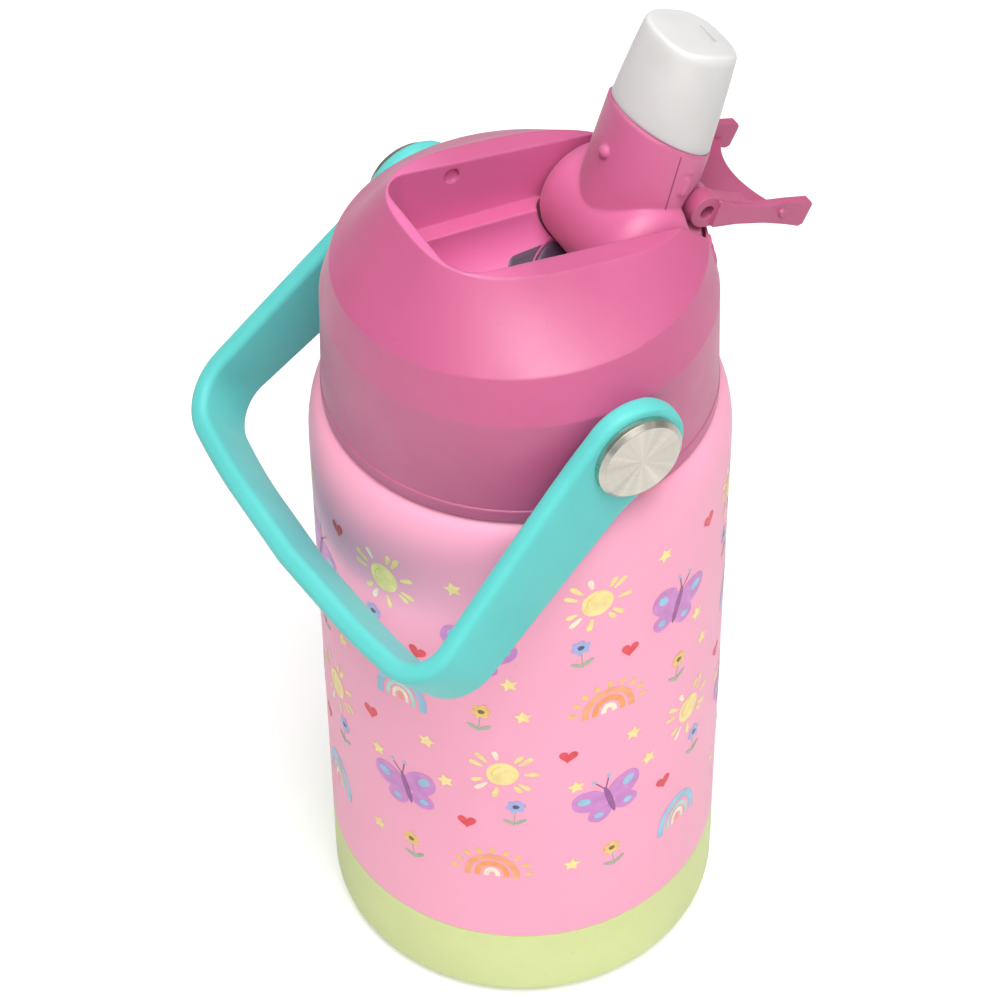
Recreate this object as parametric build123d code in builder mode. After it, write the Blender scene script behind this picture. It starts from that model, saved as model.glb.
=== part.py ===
from build123d import *
import math
import os

# Kids' insulated water bottle with a screwed lid, folding spout, spout cover and
# carry handle. Millimetres, +Z up, origin at the centre of the resting face. The
# spout stands on the +Y side of the lid and folds down into a recess toward -Y;
# the spout, cover and handle all turn about axes parallel to X.

# ---- body
BODY_R = 36.5          # outside radius of the straight body
WALL = 0.8             # sheet thickness of both steel walls
BOOT_TOP = 18.8        # top edge of the base boot
BOOT_INNER_R = 35.15
BOOT_FLOOR = 1.6       # thickness of the boot floor
SHOULDER_Z = 117.5     # where the straight wall starts to round in
SHELF_Z = 128.2        # top of the shoulder, welded to the neck
VESSEL_R = 33.2        # outside radius of the inner vessel
VESSEL_FLOOR = 8.0     # inside floor height of the vessel
NECK_R = 28.4          # outside radius of the bottle neck
NECK_INNER_R = 27.5
NECK_TOP = 137.2

# ---- screw thread between neck and lid
PITCH = 3.5
TURNS = 1.25
THREAD_HEIGHT = 1.2    # radial height of a ridge
THREAD_CLEAR = 0.35    # radial play, crest to opposite wall
NECK_RIDGE_Z = 131.2   # centre height of the start of the neck ridge
LID_RIDGE_Z = NECK_RIDGE_Z - 1.35
LINER_BORE_R = NECK_R + THREAD_HEIGHT + THREAD_CLEAR

# ---- lid
LID_BOTTOM_R, LID_BOTTOM_Z = 33.9, 128.55
LID_EDGE_R, LID_EDGE_Z = 33.3, 150.0       # second edge of the lid
CREASE_Z = 157.9                           # crease where the dome starts
CREASE_HALF_X, CREASE_HALF_Y = 29.9, 31.7  # half widths of the crease oval
RIM_SLOPE = 0.192                          # rim plane drops toward +Y
RIM_Z = 167.6                              # rim plane height at the axis
RIM_HALF_X = 17.6
RIM_Y_MIN, RIM_Y_MAX = -20.8, 27.5
LINER_R = 31.05
LINER_UNDER, LINER_TOP = 138.65, 139.8     # faces of the liner's top plate
VENT_X, VENT_Y = -12, -8                   # vent valve axis

# ---- spout
PIVOT_Y, PIVOT_Z = 19.5, 155.1
DRUM_R = 10.1
DRUM_HALF = 12.75                # half length of the pivot drum
LEAN = math.radians(19.5)        # spout lean toward +Y
JOINT_SLANT = math.radians(16)   # joint tilt beyond the lean
JOINT_Y, JOINT_Z = 26.5, 174.2   # centre of the joint between barrel and mouthpiece
BARREL_HALF_X, BARREL_HALF_Y = 10.0, 9.2
TIP_HALF_X, TIP_HALF_Y = 8.4, 8.2
TIP_LENGTH = 17.6
SPIGOT_R = 5.6
BORE_R = 2.6
PIN_R = 2.0
PORT_Y = PIVOT_Y - DRUM_R * math.sin(LEAN)   # where the spout bore meets the seal
PORT_R = 4.2                                 # hole in the liner under the port

# ---- recess in the lid
RECESS_HALF = 13.5
RECESS_END_Y = -18.9
RECESS_CORNER = 5.5
CRADLE_R = 10.35       # trough under the folded spout, and the drum well
CRADLE_END_Y, CRADLE_Z = -19.2, 155.6
SEAL_Y = 12.3
SEAL_LENGTH, SEAL_WIDTH = 17.6, 16.0

# ---- cover
HINGE_Y, HINGE_Z = 29.0, 162.0
DROOP = math.radians(22)   # arm angle below horizontal
COVER_LENGTH = 21.5
COVER_HALF = 12.3

# ---- handle
HANDLE_Z = 143.5
HANDLE_ANGLE = math.radians(40.8)   # hanging angle below horizontal, toward -Y
BAND_THICK = 3.6
ARM_X = 36.1                        # mid plane of the band at the rivets
CORNER_X, CORNER_REACH = 40.9, 52.4
REACH = 56.8                        # axis to the middle of the grip
EYE_R = 9.4                         # radius of the rounded ends
RIVET_R = 2.9
BUSHING_R = 4.0
EYELET_R = 5.2

# ---- working planes
SPOUT_AXIS = (0, math.sin(LEAN), math.cos(LEAN))
# Side view of the spout: local x across it toward +Y, local y up its axis.
SPOUT_SIDE = Plane(
    origin=(0, JOINT_Y, JOINT_Z),
    x_dir=(0, math.cos(LEAN), -math.sin(LEAN)),
    z_dir=(1, 0, 0),
)
JOINT_PLANE = Plane(
    origin=(0, JOINT_Y, JOINT_Z),
    x_dir=(1, 0, 0),
    z_dir=(0, math.sin(LEAN + JOINT_SLANT), math.cos(LEAN + JOINT_SLANT)),
)
# Side view of the cover: local x runs out along the arm from the hinge.
COVER_SIDE = Plane(
    origin=(0, HINGE_Y, HINGE_Z),
    x_dir=(0, math.cos(DROOP), -math.sin(DROOP)),
    z_dir=(1, 0, 0),
)
# Plan of the cover: local y runs out along the arm.
COVER_PLAN = Plane(
    origin=(0, HINGE_Y, HINGE_Z),
    x_dir=(1, 0, 0),
    z_dir=(0, math.sin(DROOP), math.cos(DROOP)),
)
# Plan of the handle: local y runs from its axis toward the grip.
HANDLE_PLAN = Plane(
    origin=(0, 0, HANDLE_Z),
    x_dir=(1, 0, 0),
    z_dir=(0, math.sin(HANDLE_ANGLE), -math.cos(HANDLE_ANGLE)),
)
# Side view of the handle: local x runs from its axis toward the grip.
HANDLE_SIDE = Plane(
    origin=(0, 0, HANDLE_Z),
    x_dir=(0, -math.cos(HANDLE_ANGLE), -math.sin(HANDLE_ANGLE)),
    z_dir=(1, 0, 0),
)


def side_plane(side, x, y, z):
    """Plane at side * x that faces outward along X."""
    return Plane(origin=(side * x, y, z), x_dir=(0, 1, 0), z_dir=(side, 0, 0))


def low_x(side, inner, outer):
    """Lower X of a span that lies between inner and outer on the given side."""
    return inner if side > 0 else -outer


def spout_point(across, along, x=0.0):
    """Point given from the joint centre: across toward +Y, and up the spout axis."""
    return (
        x,
        JOINT_Y + along * math.sin(LEAN) + across * math.cos(LEAN),
        JOINT_Z + along * math.cos(LEAN) - across * math.sin(LEAN),
    )


def spout_plane(across, along, x=0.0):
    """Plane square to the spout axis."""
    return Plane(origin=spout_point(across, along, x), x_dir=(1, 0, 0), z_dir=SPOUT_AXIS)


def turned(outline, x=0, y=0):
    """Solid turned from an outline of (radius, height) about an upright axis."""
    with BuildPart() as piece:
        with BuildSketch(Plane(origin=(x, y, 0), x_dir=(1, 0, 0), z_dir=(0, -1, 0))):
            with BuildLine():
                Polyline(*outline, close=True)
            make_face()
        revolve(axis=Axis((x, y, 0), (0, 0, 1)))
    return piece


def ridge_outline(direction):
    """Thread ridge section; direction is 1 for outward, -1 for inward."""
    root, crest = -0.25 * direction, THREAD_HEIGHT * direction
    return [(root, 0.75), (0, 0.75), (crest, 0.35), (crest, -0.35), (0, -0.75), (root, -0.75)]


def ridge_plane(radius, z):
    """Plane of the ridge section at the start of its helix."""
    return Plane(origin=(radius, 0, z), x_dir=(1, 0, 0), z_dir=(0, 1, 0))


# =============================================================== bottle body
def outer_shell():
    """Outer steel shell: rebate for the boot, straight wall, rounded shoulder, shelf."""
    tuck_r = BOOT_INNER_R - 0.05       # outside radius inside the boot
    bottom_z = BOOT_FLOOR + 0.4
    collar_r = NECK_R + 0.05
    bend_r = BODY_R - 0.55             # middle of the shoulder curve
    under_z = SHELF_Z - WALL
    shoulder_start = (BODY_R, SHOULDER_Z)
    shoulder_end = (33.7, SHELF_Z - 0.5)
    inside_start = (33.0, under_z)
    inside_end = (BODY_R - WALL, SHOULDER_Z - 0.3)
    with BuildPart() as piece:
        with BuildSketch(Plane.XZ):
            with BuildLine():
                Polyline(
                    (tuck_r, bottom_z), (tuck_r, BOOT_TOP + 0.05),
                    (BODY_R, BOOT_TOP + 0.05), shoulder_start,
                )
                Spline(
                    shoulder_start, (bend_r, SHOULDER_Z + 6.0), shoulder_end,
                    tangents=((0, 1), (-1.0, 0.75)),
                )
                Polyline(
                    shoulder_end, (33.2, SHELF_Z), (collar_r, SHELF_Z),
                    (collar_r, under_z), inside_start,
                )
                Spline(
                    inside_start, (bend_r - WALL, SHOULDER_Z + 5.6), inside_end,
                    tangents=((1.0, -0.75), (0, -1)),
                )
                Polyline(
                    inside_end, (BODY_R - WALL, BOOT_TOP + 1.2),
                    (tuck_r - WALL, BOOT_TOP + 0.6), (tuck_r - WALL, bottom_z),
                    (tuck_r, bottom_z),
                )
            make_face()
        revolve(axis=Axis.Z)
    return piece


def inner_vessel():
    """Inner steel vessel with the threaded neck."""
    under_z = VESSEL_FLOOR - WALL
    outer_bend, inner_bend = 4, 3.2    # corner radii at the floor
    inner_r = VESSEL_R - WALL
    with BuildPart() as piece:
        with BuildSketch(Plane.XZ):
            with BuildLine():
                Polyline((0, under_z), (VESSEL_R - outer_bend, under_z))
                RadiusArc(
                    (VESSEL_R - outer_bend, under_z), (VESSEL_R, under_z + outer_bend), -outer_bend
                )
                Polyline(
                    (VESSEL_R, under_z + outer_bend), (VESSEL_R, SHOULDER_Z - 4),
                    (NECK_R, SHELF_Z - 2.2), (NECK_R, NECK_TOP - 0.4),
                    (NECK_R - 0.4, NECK_TOP), (NECK_INNER_R + 0.3, NECK_TOP),
                    (NECK_INNER_R, NECK_TOP - 0.3), (NECK_INNER_R, SHELF_Z - 2.5),
                    (inner_r, SHOULDER_Z - 4.4), (inner_r, VESSEL_FLOOR + inner_bend),
                )
                RadiusArc(
                    (inner_r, VESSEL_FLOOR + inner_bend), (inner_r - inner_bend, VESSEL_FLOOR),
                    inner_bend,
                )
                Polyline((inner_r - inner_bend, VESSEL_FLOOR), (0, VESSEL_FLOOR), (0, under_z))
            make_face()
        revolve(axis=Axis.Z)
        with BuildLine(Plane.XY.offset(NECK_RIDGE_Z)) as ridge_path:
            Helix(PITCH, PITCH * TURNS, NECK_R)
        with BuildSketch(ridge_plane(NECK_R, NECK_RIDGE_Z)):
            with BuildLine():
                Polyline(*ridge_outline(1), close=True)
            make_face()
        sweep(path=ridge_path.wires()[0], is_frenet=True)
    return piece


def base_cup():
    """Steel base cup closing the outer shell, with the evacuation port."""
    # (radius, height)
    cup = [
        (1.2, 2.2), (BOOT_INNER_R - 1.9, 2.2), (BOOT_INNER_R - 0.95, 3.1),
        (BOOT_INNER_R - 0.95, 9.0), (BOOT_INNER_R - 1.6, 9.0), (BOOT_INNER_R - 1.6, 3.6),
        (BOOT_INNER_R - 2.2, 3.0), (4.2, 3.0), (3.2, 4.2), (1.2, 4.2),
    ]
    countersink = [(0, 2.0), (3.4, 2.0), (2.6, 3.3), (0, 3.3)]
    with BuildPart() as piece:
        for outline, mode in ((cup, Mode.ADD), (countersink, Mode.SUBTRACT)):
            with BuildSketch(Plane.XZ):
                with BuildLine():
                    Polyline(*outline, close=True)
                make_face()
            revolve(axis=Axis.Z, mode=mode)
    return piece


def vacuum_plug():
    """Solder glass bead that seals the evacuation port."""
    return turned([(0, 2.3), (2.6, 2.3), (2.2, 3.2), (1.1, 3.25), (1.1, 4.3), (0, 4.5)])


def vacuum_getter():
    """Getter puck inside the vacuum space, on the base cup."""
    with BuildPart() as piece:
        with BuildSketch(Plane.XY.offset(3.05)):
            with Locations((14, 0)):
                Circle(5)
        extrude(amount=1.6)
        chamfer(piece.edges().group_by(Axis.Z)[-1], 0.4)
    return piece


def base_boot():
    """Silicone base boot, flush with the body above it; ringed underside."""
    corner = 3.2
    lip_chamfer = 0.25
    groove_radii = (20.0, 23.0, 26.0, 29.0)
    groove_half, groove_depth = 0.6, 0.5
    with BuildPart() as piece:
        with BuildSketch(Plane.XZ):
            with BuildLine():
                Polyline((0, 0), (BODY_R - corner, 0))
                RadiusArc((BODY_R - corner, 0), (BODY_R, corner), -corner)
                Polyline(
                    (BODY_R, corner), (BODY_R, BOOT_TOP - lip_chamfer),
                    (BODY_R - lip_chamfer, BOOT_TOP), (BOOT_INNER_R, BOOT_TOP),
                    (BOOT_INNER_R, BOOT_FLOOR), (0, BOOT_FLOOR), (0, 0),
                )
            make_face()
        revolve(axis=Axis.Z)
        with BuildSketch(Plane.XY):
            for radius in groove_radii:
                Circle(radius + groove_half)
                Circle(radius - groove_half, mode=Mode.SUBTRACT)
        extrude(amount=groove_depth, mode=Mode.SUBTRACT)
    return piece


# =============================================================== lid, screwed
def lid_gasket():
    """Ring gasket on the rim of the neck."""
    bottom, middle, top = NECK_TOP + 0.03, NECK_TOP + 0.7, NECK_TOP + 1.38
    return turned([
        (26.6, bottom), (29.3, bottom), (29.5, middle), (29.3, top), (26.6, top), (26.4, middle),
    ])


def lid_liner():
    """Threaded liner: skirt, top plate, and the lid's own helical ridge."""
    skirt_z = 128.8
    slit_offset = 3.4    # small air holes either side of the vent stem
    with BuildPart() as piece:
        with BuildSketch(Plane.XZ):
            with BuildLine():
                Polyline(
                    (0, LINER_UNDER), (LINER_BORE_R, LINER_UNDER), (LINER_BORE_R, skirt_z),
                    (LINER_R, skirt_z), (LINER_R, LINER_TOP), (0, LINER_TOP), close=True,
                )
            make_face()
        revolve(axis=Axis.Z)
        with BuildLine(Plane.XY.offset(LID_RIDGE_Z)) as ridge_path:
            Helix(PITCH, PITCH * TURNS, LINER_BORE_R)
        with BuildSketch(ridge_plane(LINER_BORE_R, LID_RIDGE_Z)):
            with BuildLine():
                Polyline(*ridge_outline(-1), close=True)
            make_face()
        sweep(path=ridge_path.wires()[0], is_frenet=True)
        with BuildSketch(Plane.XY.offset(138.0)):
            with Locations((0, PORT_Y)):
                Circle(PORT_R)
            with Locations((VENT_X, VENT_Y)):
                Circle(1.4)
            with Locations((VENT_X + slit_offset, VENT_Y), (VENT_X - slit_offset, VENT_Y)):
                Circle(0.7)
        extrude(amount=3, mode=Mode.SUBTRACT)
    return piece


def vent_valve():
    """Umbrella valve that lets air back in while drinking."""
    outline = [
        (0, 136.4), (1.2, 136.9), (1.35, 138.5), (4.4, 138.2), (4.6, 138.6),
        (1.35, 138.6), (1.35, 139.85), (1.9, 140.4), (1.1, 141.2), (0, 141.2),
    ]
    return turned(outline, VENT_X, VENT_Y)


def ring_points(half_x, half_y, centre_y, exponent, z, slope, count=32):
    """Points of a superellipse ring whose height drops toward +Y by slope."""
    points = []
    for k in range(count):
        angle = 2 * math.pi * k / count
        c, s = math.cos(angle), math.sin(angle)
        x = half_x * math.copysign(abs(c) ** (2 / exponent), c)
        y = centre_y + half_y * math.copysign(abs(s) ** (2 / exponent), s)
        points.append((x, y, z - slope * y))
    return points


def lid_body(inset, drop, z_bottom):
    """Solid lid form lofted through four rings, shrunk by inset and drop."""
    rim_centre = (RIM_Y_MIN + RIM_Y_MAX) / 2
    rim_half_y = (RIM_Y_MAX - RIM_Y_MIN) / 2
    bottom_r, edge_r = LID_BOTTOM_R - inset, LID_EDGE_R - inset
    rim_inset = inset * 0.8
    rings = [
        ring_points(bottom_r, bottom_r, 0, 2, z_bottom, 0),
        ring_points(edge_r, edge_r, 0, 2, LID_EDGE_Z, 0),
        ring_points(
            CREASE_HALF_X - inset, CREASE_HALF_Y - inset, 0, 2, CREASE_Z - drop * 0.55, 0
        ),
        ring_points(
            RIM_HALF_X - rim_inset, rim_half_y - rim_inset, rim_centre, 2.9,
            RIM_Z - drop, RIM_SLOPE,
        ),
    ]
    faces = []
    for points in rings:
        edge = Edge.make_spline([Vector(*point) for point in points], periodic=True)
        faces.append(Face(Wire([edge])))
    with BuildPart() as body:
        loft(sections=faces, ruled=True)
    return body


def recess_block(z, half, y_min, y_max, corner, height):
    """Upright block with its two -Y corners rounded."""
    with BuildPart() as block:
        with BuildSketch(Plane.XY.offset(z)):
            with BuildLine():
                Polyline((half, y_max), (half, y_min), (-half, y_min), (-half, y_max), close=True)
            make_face()
            fillet(vertices().group_by(Axis.Y)[0], corner)
        extrude(amount=height)
    return block


def recess_pocket():
    """Recess with a floor that slopes down to the pivot, then a ledge toward +Y."""
    ledge_z = 157.2
    block = recess_block(145, RECESS_HALF, RECESS_END_Y, 34, RECESS_CORNER, 40)
    with BuildPart() as pocket:
        add(block.part)
        with BuildSketch(Plane.YZ):
            with BuildLine():
                Polyline(
                    (-30, CRADLE_Z + 3.6), (PIVOT_Y, CRADLE_Z - 2.34), (PIVOT_Y, ledge_z),
                    (40, ledge_z), (40, 190), (-30, 190), close=True,
                )
            make_face()
        extrude(amount=20, both=True, mode=Mode.INTERSECT)
    return pocket


def rounded_drum(radius, half_length, corner):
    """Cylinder on the spout pivot axis with rounded ends."""
    with BuildPart() as block:
        with BuildSketch(Plane.YZ):
            with Locations((PIVOT_Y, PIVOT_Z)):
                Circle(radius)
        extrude(amount=half_length, both=True)
        fillet(block.edges().filter_by(GeomType.CIRCLE), corner)
    return block


def spout_cradle():
    """Room for the folded spout along Y, together with the well for its drum."""
    well = rounded_drum(CRADLE_R, RECESS_HALF, 4.3)
    with BuildPart() as cradle:
        with BuildSketch(Plane.XZ.offset(-CRADLE_END_Y)):
            with Locations((0, CRADLE_Z)):
                Circle(CRADLE_R)
        extrude(amount=-(PIVOT_Y - CRADLE_END_Y))
        add(well.part)
    return cradle


def tip_sweep():
    """Room for the mouthpiece tip at the end of its swing."""
    with BuildPart() as sweep_room:
        with BuildSketch(Plane.YZ):
            with Locations((PIVOT_Y, PIVOT_Z)):
                Circle(39.25)
        extrude(amount=9.3, both=True)
        with BuildSketch(Plane.YZ):
            with Locations((-16, 155.0)):
                Rectangle(10, 14)
        extrude(amount=20, both=True, mode=Mode.INTERSECT)
    return sweep_room


def lid_hollow():
    """Hollow space of the lid around the tub that holds the recess."""
    inside = lid_body(2.4, 2.6, LID_BOTTOM_Z - 1)
    tub = recess_block(
        142.9, RECESS_HALF + 1.9, RECESS_END_Y - 2.2, 40, RECESS_CORNER + 1.5, 50
    )
    with BuildPart() as hollow:
        add(inside.part)
        add(tub.part, mode=Mode.SUBTRACT)
    return hollow


def lid_shell():
    """Outer lid with the spout recess and its holes."""
    seal_play = 0.1
    dimple_y, dimple_z = -5.0, 165.9    # where the cover nubs snap in
    outside = lid_body(0.0, 0.0, LID_BOTTOM_Z)
    cuts = [lid_hollow(), recess_pocket(), spout_cradle(), tip_sweep()]
    with BuildPart() as piece:
        add(outside.part)
        for cut in cuts:
            add(cut.part, mode=Mode.SUBTRACT)
        # opening for the spout seal pad
        with BuildSketch(Plane.XY.offset(141)):
            with Locations((0, SEAL_Y)):
                SlotOverall(SEAL_LENGTH + seal_play, SEAL_WIDTH + seal_play, rotation=90)
        extrude(amount=8, mode=Mode.SUBTRACT)
        # spout pin holes
        with BuildSketch(Plane.YZ):
            with Locations((PIVOT_Y, PIVOT_Z)):
                Circle(PIN_R + 0.03)
        extrude(amount=RECESS_HALF + 3.0, both=True, mode=Mode.SUBTRACT)
        # handle rivet holes
        for side in (1, -1):
            with BuildSketch(side_plane(side, 29.0, 0, HANDLE_Z)):
                Circle(RIVET_R + 0.1)
            extrude(amount=8, mode=Mode.SUBTRACT)
        # dimples for the cover nubs
        for side in (1, -1):
            with BuildSketch(side_plane(side, RECESS_HALF - 0.5, dimple_y, dimple_z)):
                Circle(1.4)
            extrude(amount=1.2, mode=Mode.SUBTRACT)
    return piece


def spout_seal():
    """Silicone pad under the drum; its raised lip seals on the drum around the bore."""
    cradle = spout_cradle()
    with BuildPart() as piece:
        with BuildSketch(Plane.XY.offset(LINER_TOP + 0.05)):
            with Locations((0, SEAL_Y)):
                SlotOverall(SEAL_LENGTH, SEAL_WIDTH, rotation=90)
        extrude(amount=9)
        add(cradle.part, mode=Mode.SUBTRACT)
        # the lip stays under the neck of the folded spout
        with BuildSketch(Plane.XY.offset(143.5)):
            with Locations((0, PORT_Y)):
                Circle(4.0)
        extrude(amount=2.3)
        with BuildSketch(Plane.YZ):
            with Locations((PIVOT_Y, PIVOT_Z)):
                Circle(DRUM_R + 0.05)
        extrude(amount=9, both=True, mode=Mode.SUBTRACT)
        with BuildSketch(Plane.XY.offset(139)):
            with Locations((0, PORT_Y)):
                Circle(BORE_R)
        extrude(amount=10, mode=Mode.SUBTRACT)
    return piece


def straw_socket():
    """Hose barb under the liner that the straw pushes onto."""
    outline = [
        (2.1, 124), (2.7, 124), (3.0, 125.2), (3.0, 137.2), (6.0, 137.2),
        (6.0, 138.6), (4.1, 138.6), (4.1, LINER_TOP), (2.6, LINER_TOP), (2.1, 139.0),
    ]
    return turned(outline, 0, PORT_Y)


def straw():
    """Drinking straw, cut at an angle at the bottom."""
    with BuildPart() as piece:
        with BuildSketch(Plane.XY.offset(10)):
            with Locations((0, PORT_Y)):
                Circle(3.8)
                Circle(3.05, mode=Mode.SUBTRACT)
        extrude(amount=126.8)
        with BuildSketch(Plane.YZ):
            with BuildLine():
                Polyline(
                    (PORT_Y - 6, 5), (PORT_Y + 6, 5), (PORT_Y + 6, 16.5), (PORT_Y - 6, 9.0),
                    close=True,
                )
            make_face()
        extrude(amount=6, both=True, mode=Mode.SUBTRACT)
    return piece


def spout_pivot_pins():
    """Fixed pins the spout turns on."""
    with BuildPart() as piece:
        for side in (1, -1):
            with BuildSketch(side_plane(side, 9.3, PIVOT_Y, PIVOT_Z)):
                Circle(PIN_R)
            extrude(amount=6.0)
        chamfer(piece.edges().filter_by(GeomType.CIRCLE), 0.3)
    return piece


# =============================================================== handle hardware
def handle_bushings():
    """Flanged bushings between the lid wall and the rivet heads."""
    # (radius, inner x, outer x)
    steps = ((6.0, 33.72, 34.25), (BUSHING_R, 33.72, 37.95))
    with BuildPart() as piece:
        for side in (1, -1):
            for radius, inner_x, outer_x in steps:
                with BuildSketch(side_plane(side, inner_x, 0, HANDLE_Z)):
                    Circle(radius)
                extrude(amount=outer_x - inner_x)
            with BuildSketch(side_plane(side, 33.0, 0, HANDLE_Z)):
                Circle(RIVET_R + 0.05)
            extrude(amount=6, mode=Mode.SUBTRACT)
    return piece


def handle_rivets():
    """Rivets that hold the handle: outer head, shank, inner head."""
    # (radius, inner x, outer x)
    steps = ((7.8, 38.0, 39.9), (RIVET_R, 29.1, 38.4), (3.6, 28.0, 29.15))
    with BuildPart() as piece:
        for side in (1, -1):
            for radius, inner_x, outer_x in steps:
                with BuildSketch(side_plane(side, inner_x, 0, HANDLE_Z)):
                    Circle(radius)
                extrude(amount=outer_x - inner_x)
        for end in (-1, 0):
            chamfer(piece.edges().filter_by(GeomType.CIRCLE).group_by(Axis.X)[end], 0.75)
    return piece


def rivet_washers():
    """Washers inside the lid wall, each with one edge cut straight."""
    with BuildPart() as piece:
        for side in (1, -1):
            with BuildSketch(side_plane(side, 29.2, 0, HANDLE_Z)):
                Circle(5.0)
                Circle(RIVET_R + 0.1, mode=Mode.SUBTRACT)
                with Locations((0, side * -8.55)):
                    Rectangle(12, 10, mode=Mode.SUBTRACT)
            extrude(amount=1.1)
    return piece


# =============================================================== spout
def spout_barrel():
    """Spout barrel with its pivot drum, cover hinge boss and mouthpiece spigot."""
    # (across, along) in the side view: what is cut from the +Y side
    flat_back = [(5.9, -26.0), (5.9, -15.5), (10.515, 3.0), (20, 3.0), (20, -26.0)]
    boss_half = 8.0
    drum = rounded_drum(DRUM_R, DRUM_HALF, 4.4)
    with BuildPart() as piece:
        with BuildSketch(spout_plane(0, -20.3)):
            Ellipse(BARREL_HALF_X, BARREL_HALF_Y)
        extrude(amount=26)
        # slanted joint
        with BuildSketch(JOINT_PLANE):
            Rectangle(40, 40)
        extrude(amount=15, mode=Mode.SUBTRACT)
        # flattened back that the cover closes against
        with BuildSketch(SPOUT_SIDE):
            with BuildLine():
                Polyline(*flat_back, close=True)
            make_face()
        extrude(amount=20, both=True, mode=Mode.SUBTRACT)
        add(drum.part)
        # hinge boss, with clearance for the cover lugs beside it
        with BuildSketch(Plane.YZ):
            with Locations((HINGE_Y, HINGE_Z)):
                Circle(2.6)
        extrude(amount=boss_half, both=True)
        for side in (1, -1):
            with BuildSketch(side_plane(side, boss_half, HINGE_Y, HINGE_Z)):
                Circle(4.0)
            extrude(amount=8, mode=Mode.SUBTRACT)
        # grip nub on the -Y face, detent bumps on the sides
        with Locations(spout_point(-8.8, -5.3)):
            Sphere(1.3)
        for side in (1, -1):
            with BuildSketch(spout_plane(0.9, -7.6, side * 9.5)):
                Circle(1.1)
            extrude(amount=3.6)
        # spigot for the mouthpiece and the bore
        with BuildSketch(spout_plane(0, -6)):
            Circle(SPIGOT_R)
        extrude(amount=14.5)
        with BuildSketch(spout_plane(0, -34)):
            Circle(BORE_R)
        extrude(amount=45, mode=Mode.SUBTRACT)
        # blind holes for the pivot pins and the hinge pins
        for side in (1, -1):
            with BuildSketch(side_plane(side, 9.0, PIVOT_Y, PIVOT_Z)):
                Circle(PIN_R + 0.05)
            extrude(amount=6, mode=Mode.SUBTRACT)
            with BuildSketch(side_plane(side, 4.4, HINGE_Y, HINGE_Z)):
                Circle(1.22)
            extrude(amount=6, mode=Mode.SUBTRACT)
    return piece


def mouthpiece():
    """Silicone mouthpiece: tapered oval, slanted top, hollow over the spigot."""
    # (across, along) in the side view: what is cut from the +Y side of the top
    top_slant = [(0.5, 17.7), (12, 11.8), (12, 20), (0.5, 20)]
    with BuildPart() as piece:
        with BuildSketch(spout_plane(0, -3.5)):
            Ellipse(BARREL_HALF_X, BARREL_HALF_Y)
        with BuildSketch(spout_plane(0, TIP_LENGTH)):
            Ellipse(TIP_HALF_X, TIP_HALF_Y)
        loft()
        with BuildSketch(JOINT_PLANE):
            Rectangle(40, 40)
        extrude(amount=-15, mode=Mode.SUBTRACT)
        with BuildSketch(SPOUT_SIDE):
            with BuildLine():
                Polyline(*top_slant, close=True)
            make_face()
        extrude(amount=20, both=True, mode=Mode.SUBTRACT)
        fillet(piece.edges().group_by(Axis.Z)[-1], 1.0)
        # socket over the spigot, channel above it, drinking slit
        with BuildSketch(spout_plane(0, -8)):
            Circle(SPIGOT_R + 0.05)
        extrude(amount=17, mode=Mode.SUBTRACT)
        with BuildSketch(spout_plane(0, 8)):
            Circle(3.2)
        extrude(amount=6, mode=Mode.SUBTRACT)
        with BuildSketch(spout_plane(2.0, 13)):
            SlotOverall(5.0, 0.8)
        extrude(amount=8, mode=Mode.SUBTRACT)
    return piece


# =============================================================== cover
def spout_cover():
    """Cover for the spout: two hinge lugs, side walls, a floor and snap nubs."""
    lug_inner, lug_outer = 8.5, 11.5
    wall_inner = 10.7
    floor_half, floor_start, floor_end = 11.2, 4.8, 19.6
    # (out along the arm, square to it)
    rib = [
        (0, 2.9), (4.0, 2.1), (8.4, 1.6), (9.6, 0.6), (9.6, -2.3), (4.6, -2.4), (0, -2.9),
    ]
    side_wall = [
        (1.5, -2.5), (6.5, -2.0), (12.5, -2.0), (17.5, -2.5), (20.4, -3.0), (21.2, -2.5),
        (COVER_LENGTH, 1.4), (20.9, 2.1), (16.0, 1.9), (10.0, 1.4), (4.5, 1.8), (1.5, 2.5),
    ]
    with BuildPart() as piece:
        for side in (1, -1):
            # hinge lug with its stiffening rib
            with BuildSketch(COVER_SIDE.offset(low_x(side, lug_inner, lug_outer))):
                Circle(3.0)
                with BuildLine():
                    Polyline(*rib, close=True)
                make_face()
            extrude(amount=lug_outer - lug_inner)
            # side wall ending in a wing
            with BuildSketch(COVER_SIDE.offset(low_x(side, wall_inner, COVER_HALF))):
                with BuildLine():
                    Polyline(*side_wall, close=True)
                make_face()
                fillet(vertices(), 0.28)
            extrude(amount=COVER_HALF - wall_inner)
        # floor with a concave end edge
        with BuildSketch(COVER_PLAN.offset(-2.35)):
            with BuildLine():
                ThreePointArc((floor_half, floor_end), (0, 14.4), (-floor_half, floor_end))
                Polyline(
                    (-floor_half, floor_end), (-floor_half, floor_start),
                    (floor_half, floor_start), (floor_half, floor_end),
                )
            make_face()
        extrude(amount=1.3)
        # snap nubs
        nub = COVER_SIDE.origin + COVER_SIDE.x_dir * 15.5
        for side in (1, -1):
            with BuildSketch(side_plane(side, 11.5, nub.Y, nub.Z)):
                Circle(1.0)
            extrude(amount=1.4, taper=14)
        # hinge pin hole
        with BuildSketch(COVER_SIDE):
            Circle(1.29)
        extrude(amount=20, both=True, mode=Mode.SUBTRACT)
    return piece


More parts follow.
